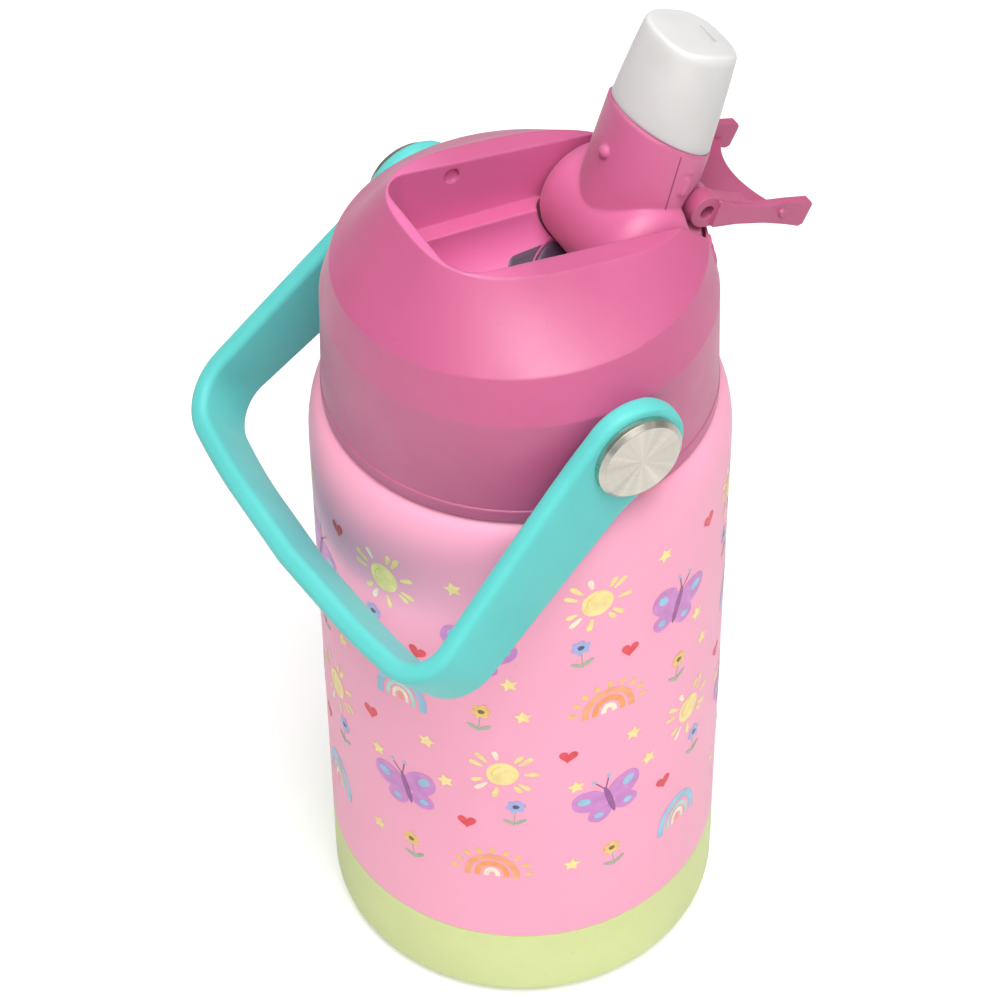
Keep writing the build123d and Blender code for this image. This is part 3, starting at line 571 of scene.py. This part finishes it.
def mouthpiece():
    count = 128
    joint_slope = math.tan(math.radians(16))
    tip = 17.2
    bore_r, joint_gap, edge_r = 5.66, 0.03, 0.75
    slit_forward, slit_half, slit_r = 3.3, 2.2, 0.22
    turns = angles(count)

    def soft_min(a, b, blend):
        h = clamp(0.5 + 0.5 * (b - a) / blend)
        return b + (a - b) * h - blend * h * (1 - h)

    def top(forward):
        """Height of the tip face: nearly level, then falling toward +Y."""
        past = forward - 0.6
        return soft_min(tip - past * 0.05, tip + 0.1 - past * 0.17, blend=0.5)

    def section(t, along, inset):
        """Point of the tapering section, an oval that grows squarer toward the tip."""
        taper = clamp((along + 3.0) / (tip + 3.0))
        half_x = 9.95 - 2.5 * taper ** 1.15 - inset
        half_y = 9.15 - 2.1 * taper ** 1.2 - inset
        power = 2.0 + 0.85 * clamp(along / tip) ** 1.3
        c, s = math.cos(t), math.sin(t)
        r = 1.0 / ((abs(c) / half_x) ** power + (abs(s) / half_y) ** power) ** (1 / power)
        return r * c, r * s

    # height of the tip face at the wall, found by repeated substitution
    edge = []
    for t in turns:
        along = 12.0
        for _ in range(12):
            along = top(section(t, along, 0.0)[1])
        edge.append(along)

    # bore from the middle of its roof down: radius, height
    rows = []
    for r, along in ((0.02, 8.7), (3.0, 8.7), (5.4, 8.7), (bore_r, 8.4), (bore_r, 4.0)):
        rows.append([on_spout(x, y, along) for x, y in circle(r, count)])
    # slanted joint face from the bore outward
    for fraction in (0.0, 0.5, 0.93):
        row = []
        for t, (x, forward) in zip(turns, circle(bore_r, count)):
            outer_x, outer_forward = section(t, -1.0, 0.25)
            x += (outer_x - x) * fraction
            forward += (outer_forward - forward) * fraction
            row.append(on_spout(x, forward, -forward * joint_slope + joint_gap))
        rows.append(row)
    # outer wall from the joint to the rounded tip: fraction of height, inset, extra height
    wall = [(0.0, 0.22, 0.02), (0.012, 0.06, 0.0)]
    wall += [(f, 0.0, 0.0) for f in (0.03, 0.12, 0.25, 0.38, 0.5, 0.62, 0.74, 0.85, 0.93, 1.0)]
    for fraction, inset, extra in wall:
        row = []
        for t, rim in zip(turns, edge):
            start = -section(t, 0.0, 0.0)[1] * joint_slope + joint_gap
            along = start + (rim - edge_r - start) * fraction + extra
            row.append(on_spout(*section(t, along, inset), along))
        rows.append(row)
    # rounded edge of the tip
    for step in range(1, 9):
        roll = math.pi / 2 * step / 8
        row = []
        for t, rim in zip(turns, edge):
            x, forward = section(t, rim, edge_r * (1 - math.cos(roll)))
            row.append(on_spout(x, forward, top(forward) - edge_r + edge_r * math.sin(roll)))
        rows.append(row)
    # slightly crowned tip face
    for fraction in (0.92, 0.8, 0.66, 0.5, 0.34, 0.18, 0.04):
        row = []
        for t, rim in zip(turns, edge):
            x, forward = (value * fraction for value in section(t, rim, edge_r))
            row.append(on_spout(x, forward, top(forward) + 0.12 * (1 - fraction * fraction)))
        rows.append(row)
    tip_piece = piece("mouth_tip", *loft(rows), "mouth", "spout", "mouth_silicone",
                      replaces=("mouthpiece",), sharp=62)

    # round-ended slit across the tip face
    slit = []
    for side in (1, -1):
        for k in range(9):
            t = math.pi * k / 8 - math.pi / 2
            slit.append((side * (slit_half + slit_r * math.cos(t)), side * slit_r * math.sin(t)))
    cut(tip_piece, [[on_spout(x, slit_forward + y, along) for x, y in slit]
                    for along in (12.5, 19.0)])


mouthpiece()


# ------------------------------------------------------------------ carry strap
def strap():
    """Band from one rivet round to the other, hanging toward -Y and down."""
    hang = math.radians(40.8)
    across_axis = np.array((1.0, 0, 0))
    reach_axis = np.array((0, -math.cos(hang), -math.sin(hang)))
    width_axis = np.array((0, math.sin(hang), -math.cos(hang)))
    eye_r, half_thick, corner_r, hole_r = 9.35, 1.8, 1.35, 5.25
    arm_x, grip_reach = 36.1, 57.0
    # half width along the band: distance past the rivet, half width
    past_rivet = [0, 10, 30, 48, 66, 100]
    half_widths = [9.35, 8.1, 7.1, 6.2, 5.9, 5.85]

    # centre line of the +X half: x, reach, corner radius
    # the last corner only steers the bend before it, and the grip's middle takes its place
    half_line = rounded([
        (arm_x, -eye_r, 0), (arm_x, 9.0, 60), (41.05, 53.3, 13.5), (24.0, 55.85, 120),
        (0, 57.15, 0)], steps=22, closed=False)
    half_line = half_line[:-1] + [(0.0, grip_reach)]
    line = np.array(half_line + [(-x, reach) for x, reach in reversed(half_line[:-1])])
    lengths = np.r_[0, np.cumsum(np.linalg.norm(np.diff(line, axis=0), axis=1))]
    total = lengths[-1]

    def line_at(distance):
        return np.array([np.interp(distance, lengths, line[:, 0]),
                         np.interp(distance, lengths, line[:, 1])])

    # stations crowd toward the round ends
    ends = [0.02] + [eye_r * (1 - math.cos(t)) for t in np.linspace(0.0, math.pi / 2, 26)[1:]]
    middle = np.linspace(ends[-1] + 0.9, total - ends[-1] - 0.9, 190)
    stations = np.array(ends + list(middle) + [total - end for end in reversed(ends)])
    window = 0.6  # the tangent is taken this far to each side
    tangents = (line_at(np.clip(stations + window, 0, total))
                - line_at(np.clip(stations - window, 0, total)))

    rows = []
    for station, (x, reach), (run_x, run_reach) in zip(stations, line_at(stations).T,
                                                       tangents.T):
        run = math.hypot(run_x, run_reach)
        normal_x, normal_reach = -run_reach / run, run_x / run
        from_end = min(station, total - station)
        past = from_end - eye_r
        half_width = np.interp(past, past_rivet, half_widths)
        if past < 4.0:
            disc = math.sqrt(max(0.0004, eye_r ** 2 - past ** 2))
            half_width = disc if past < 0 else max(disc, half_width)
        half_height = half_thick
        if from_end < corner_r:
            half_height = half_thick - corner_r + math.sqrt(
                max(0.0, corner_r ** 2 - (corner_r - from_end) ** 2))
        edge_r = min(corner_r, half_width * 0.95, half_height * 0.95)
        # skew of the hanging strap, growing toward the grip
        grow = clamp(reach / 56.0) ** 2
        skewed_x = x + 0.7 * grow
        skewed_reach = reach - 1.5 * grow * x / 41.0
        crown = clamp(past / 12.0)
        row = []
        for side, face, start in ((1, 1, 0), (-1, 1, 90), (-1, -1, 180), (1, -1, 270)):
            for k in range(6):
                t = math.radians(start + 90 * k / 5)
                wide = side * (half_width - edge_r) + edge_r * math.cos(t)
                out = face * (half_height - edge_r) + edge_r * math.sin(t)
                # slightly crowned band
                bulge = 0.10 * (1 - (wide / max(half_width, 0.1)) ** 2)
                out += bulge * (1 if out > 0 else -1) * crown
                point = (across_axis * (skewed_x + normal_x * out)
                         + reach_axis * (skewed_reach + normal_reach * out)
                         + width_axis * wide)
                row.append((point[0], point[1], point[2] + PIVOT_Z))
        rows.append(row)
    band = piece("carry_strap", *loft(rows), "handle", "handle", "handle_rubber",
                 replaces=("carry_handle",), sharp=50)
    hole = circle(hole_r, 64, y=PIVOT_Z)
    for side in (1, -1):
        cut(band, [[(side * x, y, z) for y, z in hole] for x in (30.0, 42.0)])


strap()


# ------------------------------------------------------------------ lid details
lid_mesh = NODES["lid_shell"].data
lid_tree = BVHTree.FromPolygons([tuple(v.co) for v in lid_mesh.vertices],
                                [tuple(p.vertices) for p in lid_mesh.polygons])


def dome_rib(name, direction, z):
    """Small raised bar that follows the outside of the lid at height z."""
    length, radius, wall_r = 3.4, 0.42, 31.0
    rows = []
    last_reach = None
    for i in range(15):
        t = i / 14
        angle = direction + (t - 0.5) * length / wall_r
        outward = Vector((math.cos(angle), math.sin(angle), 0))
        hit = lid_tree.ray_cast(outward * 0.08 + Vector((0, 0, z * MM)), -outward)
        # no rib where the wall is missing, too far in or stepped
        if hit[0] is None:
            return
        centre = Vector(hit[0]) * 1000
        reach = math.hypot(centre.x, centre.y)
        if reach < 28 or (last_reach and abs(reach - last_reach) > 1.0):
            return
        last_reach = reach
        normal = Vector(hit[1])
        up = normal.cross(Vector((-outward.y, outward.x, 0))).normalized()
        r = radius * math.sqrt(max(0.02, 1 - (2 * t - 1) ** 4))
        rows.append([tuple(centre + normal * (r * math.cos(a) * 0.8) + up * (r * math.sin(a)))
                     for a in angles(14)])
    piece(name, *loft(rows), "lid", "lid", "lid_plastic", sharp=60)


def pad_shade_tongue():
    """Thin dark sheet at the -Y end of the pad, on the floor of the recess round the pad's round
    end: painted shade of the slot there.
    """
    start_y, half_width, corner_r = 1.3, 7.8, 2.2
    round_y, round_r = 11.36, 8.15  # circle that the tongue stops at
    rows = []
    for j in range(45):
        x = -half_width + 2 * half_width * (0.5 - 0.5 * math.cos(math.pi * j / 44))
        past = max(0.0, abs(x) - (half_width - corner_r))
        start = start_y + corner_r - math.sqrt(max(0.0, corner_r ** 2 - past ** 2))
        stop = round_y - math.sqrt(max(0.0, round_r ** 2 - x ** 2)) - 0.03
        upper, lower = [], []
        for i in range(25):
            y = start + (stop - start) * i / 24
            hit = lid_tree.ray_cast(Vector((x * MM, y * MM, 0.168)), Vector((0, 0, -1)))
            # no tongue where the recess floor is missing or out of its height range
            if hit[0] is None or hit[0].z < 0.1435 or hit[0].z > 0.1535:
                return
            z = hit[0].z * 1000
            from_edge = min(half_width - abs(x), y - start)
            upper.append((x, y, z + 0.06 + 0.16 * min(1.0, from_edge / 0.5)))
            lower.append((x, y, z + 0.012))
        rows.append(upper + lower[::-1])
    piece("pad_shade_tongue", *loft(rows), "dark", "lid", "dark_silicone", sharp=50)


def neck_step_shade(name, side):
    """Fine line down the side of the neck, at a step in its surface; its dark colour is painted
    shade of that step.
    """
    half_width, proud, buried = 0.11, 0.035, -0.12
    section = ((-half_width, proud), (half_width, proud),
               (half_width, buried), (-half_width, buried))
    rows = []
    for i in range(13):
        along = -0.2 - 11.2 * i / 12
        row = []
        for shift, depth in section:
            forward = -1.9 + 0.75 * i / 12 + shift
            x = NECK_HALF_X * math.sqrt(1 - (forward / NECK_HALF_Y) ** 2) + depth
            row.append(on_spout(side * x, forward, along))
        rows.append(row)
    piece(name, *loft(rows), "seam", "spout", "lid_plastic", sharp=40)


def lid_skirt():
    """Band at the bottom of the lid, a hair proud of the wall above it."""
    profile = rounded([(33.3, 128.62, 0), (34.0, 128.62, 0.3),
                       (34.0, 131.25, 0.3), (33.3, 131.5, 0)])
    lathe("lid_skirt", profile, "lid", "lid", "lid_plastic", segments=224, sharp=50)


for side, tag in ((1, "a"), (-1, "b")):
    for k, z in enumerate((153.0, 154.9, 156.8)):
        dome_rib(f"dome_rib_{tag}{k}", math.radians(90 - side * 24.0), z)
pad_shade_tongue()
neck_step_shade("neck_step_shade_a", 1)
neck_step_shade("neck_step_shade_b", -1)
lid_skirt()


# ------------------------------------------------------------------ print shapes
# An outline is a list of (x, z) points; a motif is a list of (ink, layer, outline).
def turned(x, z, turn):
    c, s = math.cos(turn), math.sin(turn)
    return x * c - z * s, x * s + z * c


def shifted(outline, x, z):
    return [(px + x, pz + z) for px, pz in outline]


def blob(cx, cz, rx, rz, turn=0.0, count=30, wobble=0.0):
    """Ellipse with a slightly uneven edge."""
    out = []
    for t in angles(count):
        w = 1 + wobble * math.sin(3 * t + 1.0) + wobble * 0.6 * math.sin(5 * t)
        x, z = turned(rx * w * math.cos(t), rz * w * math.sin(t), turn)
        out.append((cx + x, cz + z))
    return out


def ray(angle, inner, outer, inner_half, outer_half):
    """Blunt stroke pointing away from the centre."""
    shoulder = inner + (outer - inner) * 0.6
    points = [(inner, -inner_half), (shoulder, -outer_half), (outer - 0.25, -outer_half * 0.8),
              (outer, 0), (outer - 0.25, outer_half * 0.8), (shoulder, outer_half),
              (inner, inner_half), (inner - 0.15, 0)]
    return [turned(x, z, angle) for x, z in points]


def arc_band(inner, outer, squash, foot=0.0, start=0.0, end=math.pi, count=22):
    """Arch between two radii; squash scales its height and foot extends its legs down."""
    sweep = end - start
    outside, inside = [], []
    for k in range(count + 1):
        t = start + sweep * k / count
        outside.append((outer * math.cos(t), outer * squash * math.sin(t)))
        t = end - sweep * k / count
        inside.append((inner * math.cos(t), inner * squash * math.sin(t)))
    if foot:
        outside = [(outside[0][0], -foot)] + outside + [(outside[-1][0], -foot)]
        inside = [(inside[0][0], -foot)] + inside + [(inside[-1][0], -foot)]
    return outside + inside


# ------------------------------------------------------------------ print motifs
def sun():
    motif = [("yellow", 0, blob(0, 0, 2.9, 3.1, wobble=0.012))]
    for k in range(11):
        angle = 2 * math.pi * (k + 0.3 * math.sin(k * 2.3)) / 11 + 0.2
        ink = "cream" if k % 4 == 3 else "yellow"
        motif.append((ink, 0, ray(angle, 4.0, 6.6 + 0.5 * math.sin(k * 1.9), 0.28, 0.55)))
    glint = arc_band(1.75, 2.0, 1.05, start=math.radians(110), end=math.radians(205), count=12)
    motif.append(("gold", 1, glint))
    return motif


def star():
    """Five points, with every corner cut softly."""
    radius = 1.75
    points = []
    for k in range(10):
        t = math.pi / 2 + math.pi * k / 5
        r = radius if k % 2 == 0 else radius * 0.50
        points.append(np.array((r * math.cos(t), r * math.sin(t))))
    soft = []
    for k, point in enumerate(points):
        before, after = points[k - 1], points[(k + 1) % 10]
        soft += [tuple(point + (before - point) * 0.18),
                 tuple(point * 0.97 + (before + after) * 0.015),
                 tuple(point + (after - point) * 0.18)]
    return [("star", 0, soft)]


def heart():
    half_width = 1.75
    points = []
    for t in angles(36):
        x = 16 * math.sin(t) ** 3
        z = (13 * math.cos(t) - 5.6 * math.cos(2 * t) - 2.4 * math.cos(3 * t)
             - 1.1 * math.cos(4 * t))
        points.append((x / 16 * half_width, z / 16 * half_width * 0.98))
    return [("red", 0, points)]


def flower(petal, core):
    motif = []
    for k in range(6):
        t = 2 * math.pi * k / 6 + 0.3
        outline = blob(1.05 * math.cos(t), 2.6 + 1.05 * math.sin(t), 0.85, 0.62, t, 18)
        motif.append((petal, k % 2, outline))
    motif.append((core, 2, blob(0, 2.6, 0.62, 0.55, count=16, wobble=0.05)))
    stem = [(-0.13, -2.7), (0.17, -2.7), (0.1, -0.6), (0.12, 1.2), (-0.12, 1.2), (-0.1, -0.6)]
    motif.append(("leaf", 0, stem))
    motif.append(("leaf", 1, blob(1.15, -1.55, 1.25, 0.42, 0.6, 18)))
    motif.append(("leaf", 1, blob(-1.05, -1.75, 1.15, 0.40, math.pi - 0.5, 18)))
    return motif


# ink, inner radius, outer radius, squash, foot
WARM_BANDS = (("orange", 3.85, 5.1, 1.12, 0.9), ("amber", 2.15, 3.2, 1.2, 0.7),
              ("cream", 0.55, 1.5, 1.35, 0.5))
COOL_BANDS = (("blue", 3.9, 5.35, 1.22, 1.6), ("mint", 2.35, 3.15, 1.3, 1.0),
              ("cream", 1.05, 1.75, 1.5, 0.8), ("orange", 0.05, 0.5, 2.2, 0.6))


def rainbow(warm):
    """Nested arches; the warm one also has rays."""
    bands, drop = (WARM_BANDS, 2.0) if warm else (COOL_BANDS, 2.2)
    motif = [(ink, 0, arc_band(*band)) for ink, *band in bands]
    if warm:
        for k in range(9):
            angle = math.pi * (k + 0.25) / 8.6
            motif.append(("gold", 0, ray(angle, 6.2, 7.7, 0.32, 0.52)))
    return [(ink, layer, shifted(outline, 0, -drop)) for ink, layer, outline in motif]


def butterfly():
    motif = []
    for side in (1, -1):
        # wings and their spots
        motif.append(("lilac", 0, blob(side * 3.5, 2.3, 3.6, 2.9, side * 0.55, 36, 0.02)))
        motif.append(("lilac", 0, blob(side * 2.7, -2.2, 2.4, 2.1, -side * 0.5, 30, 0.02)))
        motif.append(("blue", 1, blob(side * 4.5, 2.9, 1.35, 0.95, side * 0.6, 22)))
        motif.append(("blue", 1, blob(side * 3.0, -2.5, 0.9, 0.75, count=20)))
        # feeler with a dot at its end
        angle = math.pi / 2 - side * 0.42
        root_x, root_z = side * 0.15, 4.1
        feeler = ray(angle, 0.0, 3.1, 0.10, 0.16)
        motif.append(("plum", 0, shifted(feeler, root_x, root_z)))
        dot_x, dot_z = root_x + 3.2 * math.cos(angle), root_z + 3.2 * math.sin(angle)
        motif.append(("blue", 1, blob(dot_x, dot_z, 0.42, 0.42, count=14)))
    motif.append(("plum", 2, blob(0, 0.5, 0.62, 4.0, count=26)))
    return motif


# ------------------------------------------------------------------ print layout
REPEATS = 6
REPEAT_DEGREES = 60
ARC = math.radians(1) * SHELL_R  # arc length of one degree

# motif: share of the repeat's sway added to each tilt, then
# (degrees round the body, height, tilt in radians) for each place
LAYOUT = {
    "heart": (1, ((31.9, 111.4, 0.1), (1.1, 94.0, -0.1), (43.3, 70.1, 0.0), (14.6, 51.5, 0.1))),
    "sun": (2, ((51.0, 109.0, 0.0), (24.9, 66.3, 0.0))),
    "star": (0, ((12.2, 113.1, 0.3), (30.8, 81.9, 0.1), (3.0, 70.8, -0.2), (45.7, 61.2, 0.15),
                 (44.6, 39.0, -0.1), (27.0, 90.5, 0.2), (8.5, 61.5, 0.3))),
    "butterfly": (0, ((17.5, 97.5, -0.30), (56.0, 54.6, 0.26))),
    "rainbow": (0, ((55.0, 82.0, 0.0), (21.6, 39.2, 0.0))),
    "gold_flower": (0, ((18.8, 80.2, -0.12), (57.2, 38.0, 0.12))),
    "blue_flower": (0, ((46.8, 96.0, 0.08), (28.3, 54.6, -0.08))),
}


def lay_out():
    """Outlines in (arc, height) by (ink, layer)."""
    prints = {}
    for repeat in range(REPEATS):
        sway = 0.12 * math.sin(repeat * 2.1)
        motifs = {
            "heart": heart(), "sun": sun(), "star": star(), "butterfly": butterfly(),
            "rainbow": rainbow(warm=repeat % 2 == 1), "gold_flower": flower("gold", "olive"),
            "blue_flower": flower("petal", "navy"),
        }
        for name, (sway_share, places) in LAYOUT.items():
            for degrees, height, tilt in places:
                arc = (REPEAT_DEGREES * repeat + degrees) * ARC
                turn = tilt + sway * sway_share
                for ink, layer, outline in motifs[name]:
                    points = [turned(x, z, turn) for x, z in outline]
                    placed = [(arc + x, height + z) for x, z in points]
                    prints.setdefault((ink, layer), []).append(placed)
    return prints


def is_inside(point, outline):
    x, y = point
    hit = False
    xj, yj = outline[-1]
    for xi, yi in outline:
        if (yi > y) != (yj > y) and x < (xj - xi) * (y - yi) / (yj - yi) + xi:
            hit = not hit
        xj, yj = xi, yi
    return hit


def divided(outline, longest=1.3):
    """Outline with its long sides divided so that they bend round the body."""
    ring = []
    for k, start in enumerate(outline):
        end = outline[(k + 1) % len(outline)]
        length = math.hypot(end[0] - start[0], end[1] - start[1])
        if length < 1e-4:
            continue
        parts = max(1, int(math.ceil(length / longest)))
        for part in range(parts):
            f = part / parts
            ring.append((start[0] + (end[0] - start[0]) * f, start[1] + (end[1] - start[1]) * f))
    return ring


def inner_points(ring):
    """Grid points inside the ring and clear of its edge."""
    step, stretch, clearance = 1.25, 1.6, 0.3
    xs, zs = [p[0] for p in ring], [p[1] for p in ring]
    points = []
    for i in range(int((max(xs) - min(xs)) / step)):
        for j in range(int((max(zs) - min(zs)) / (step * stretch))):
            x, z = min(xs) + (i + 0.63) * step, min(zs) + (j + 0.57) * step * stretch
            nearest = min(math.hypot(x - p[0], z - p[1]) for p in ring)
            if nearest > clearance and is_inside((x, z), ring):
                points.append((x, z))
    return points


def turn_outward(mesh):
    inward = [p.index for p in mesh.polygons
              if p.normal.x * p.center.x + p.normal.y * p.center.y < 0]
    if inward:
        bm = bmesh.new()
        bm.from_mesh(mesh)
        bm.faces.ensure_lookup_table()
        bmesh.ops.reverse_faces(bm, faces=[bm.faces[i] for i in inward])
        bm.to_mesh(mesh)
        bm.free()


def wrap(name, outlines, lift, material):
    """Filled outlines wrapped round the body, lift above its surface."""
    verts, faces = [], []
    r = SHELL_R + lift
    for outline in outlines:
        ring = divided(outline)
        points = [Vector(p) for p in ring + inner_points(ring)]
        edges = [(k, (k + 1) % len(ring)) for k in range(len(ring))]
        flat_verts, _, flat_faces, _, _, _ = delaunay_2d_cdt(points, edges, [], 1, 1e-5)
        first = len(verts)
        for p in flat_verts:
            t = p[0] / SHELL_R
            verts.append((r * math.cos(t), r * math.sin(t), p[1]))
        faces += [tuple(first + i for i in face) for face in flat_faces]
    mesh = mesh_from_mm(name, verts, faces)
    mesh.update()
    turn_outward(mesh)
    mesh.normals_split_custom_set_from_vertices(
        [Vector((v.co.x, v.co.y, 0)).normalized() for v in mesh.vertices])
    mesh.materials.append(MATERIALS[material])
    made = add_object(name, mesh)
    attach(made, "bottle")


for (ink, layer), outlines in sorted(lay_out().items()):
    wrap(f"print_{ink}_{layer}", outlines, 0.035 + 0.02 * layer, "ink_" + ink)


# ------------------------------------------------------------------ floor (metres)
def floor():
    """Pale grid that glows a little, more so to the camera."""
    cells, width, z = 48, 6.0, -0.0002
    verts = [((i / cells - 0.5) * width, (j / cells - 0.5) * width, z)
             for i in range(cells + 1) for j in range(cells + 1)]
    faces = []
    for i in range(cells):
        for j in range(cells):
            a = i * (cells + 1) + j
            faces.append((a, a + cells + 1, a + cells + 2, a + 1))
    mesh = bpy.data.meshes.new("floor")
    mesh.from_pydata(verts, [], faces)
    material = surface("floor_pale", (0.80, 0.80, 0.80), rough=0.6, mottle=3,
                       mottle_amount=0.004, grain_bump=0.03, specular=0.2)
    tree = material.node_tree
    shader = next(x for x in tree.nodes if x.type == "BSDF_PRINCIPLED")
    shader.inputs["Emission Color"].default_value = (1, 1, 1, 1)
    seen = node(tree, "ShaderNodeLightPath").outputs["Is Camera Ray"]
    glow = remap(tree, seen, source=(0, 1), target=(0.05, 0.26))
    tree.links.new(glow, shader.inputs["Emission Strength"])
    mesh.materials.append(material)
    add_object("floor", mesh)


floor()


# ------------------------------------------------------------------ world
def sky():
    """White to the camera; as light, brighter overhead and dimmer from -Y."""
    world = bpy.data.worlds.new("world")
    scene.world = world
    world.use_nodes = True
    tree = world.node_tree
    background = tree.nodes["Background"]
    background.inputs["Color"].default_value = (1.0, 0.995, 0.99, 1)
    direction = node(tree, "ShaderNodeTexCoord").outputs["Generated"]
    split = node(tree, "ShaderNodeSeparateXYZ", {0: direction})
    height = remap(tree, split.outputs["Z"], source=(-0.1, 1.0), target=(0.23, 0.40))
    side = remap(tree, split.outputs["Y"], source=(-1.0, 0.4), target=(0.72, 1.0))
    light = math_node(tree, "MULTIPLY", height, side)
    seen = node(tree, "ShaderNodeLightPath").outputs["Is Camera Ray"]
    strength = node(tree, "ShaderNodeMix", {0: seen, 2: light, 3: 1.0}, data_type="FLOAT")
    tree.links.new(strength.outputs[0], background.inputs["Strength"])


sky()


# ------------------------------------------------------------------ lights (metres)
def area(name, location, target, size, watts, color=(1, 1, 1)):
    """Square area light aimed at target."""
    light = bpy.data.lights.new(name, "AREA")
    light.shape = "RECTANGLE"
    light.size = size
    light.size_y = size
    light.energy = watts
    light.color = color
    lamp = add_object(name, light)
    lamp.location = location
    aim = Vector(target) - Vector(location)
    lamp.rotation_euler = aim.to_track_quat("-Z", "Y").to_euler()


area("key", location=(0.60, -0.16, 1.20), target=(0, 0, 0.11), size=0.90, watts=14.0,
     color=(1.0, 0.985, 0.97))
area("top", location=(0.10, -0.10, 1.5), target=(0, 0, 0.1), size=0.9, watts=12.5)
area("fill", location=(0.35, -1.1, 0.45), target=(0, 0, 0.1), size=1.0, watts=0.5,
     color=(0.97, 0.985, 1.0))


# ------------------------------------------------------------------ camera (metres)
def camera():
    made = add_object("camera", bpy.data.cameras.new("camera"))
    made.data.sensor_width = 36.0
    made.data.lens = 128.16995
    made.data.clip_start = 0.02
    made.data.clip_end = 30.0
    right = (0.49273485, 0.87013704, -0.00859677)
    up = (-0.62981615, 0.36342994, 0.68647673)
    back = (0.60045315, -0.33283662, 0.72710096)
    pose = Matrix((right, up, back)).transposed().to_4x4()
    pose.translation = (0.37551312, -0.21233494, 0.55499738)
    made.matrix_world = pose
    scene.camera = made


camera()
scene.view_settings.view_transform = "Standard"
scene.view_settings.look = "None"
scene.view_settings.exposure = 0.0
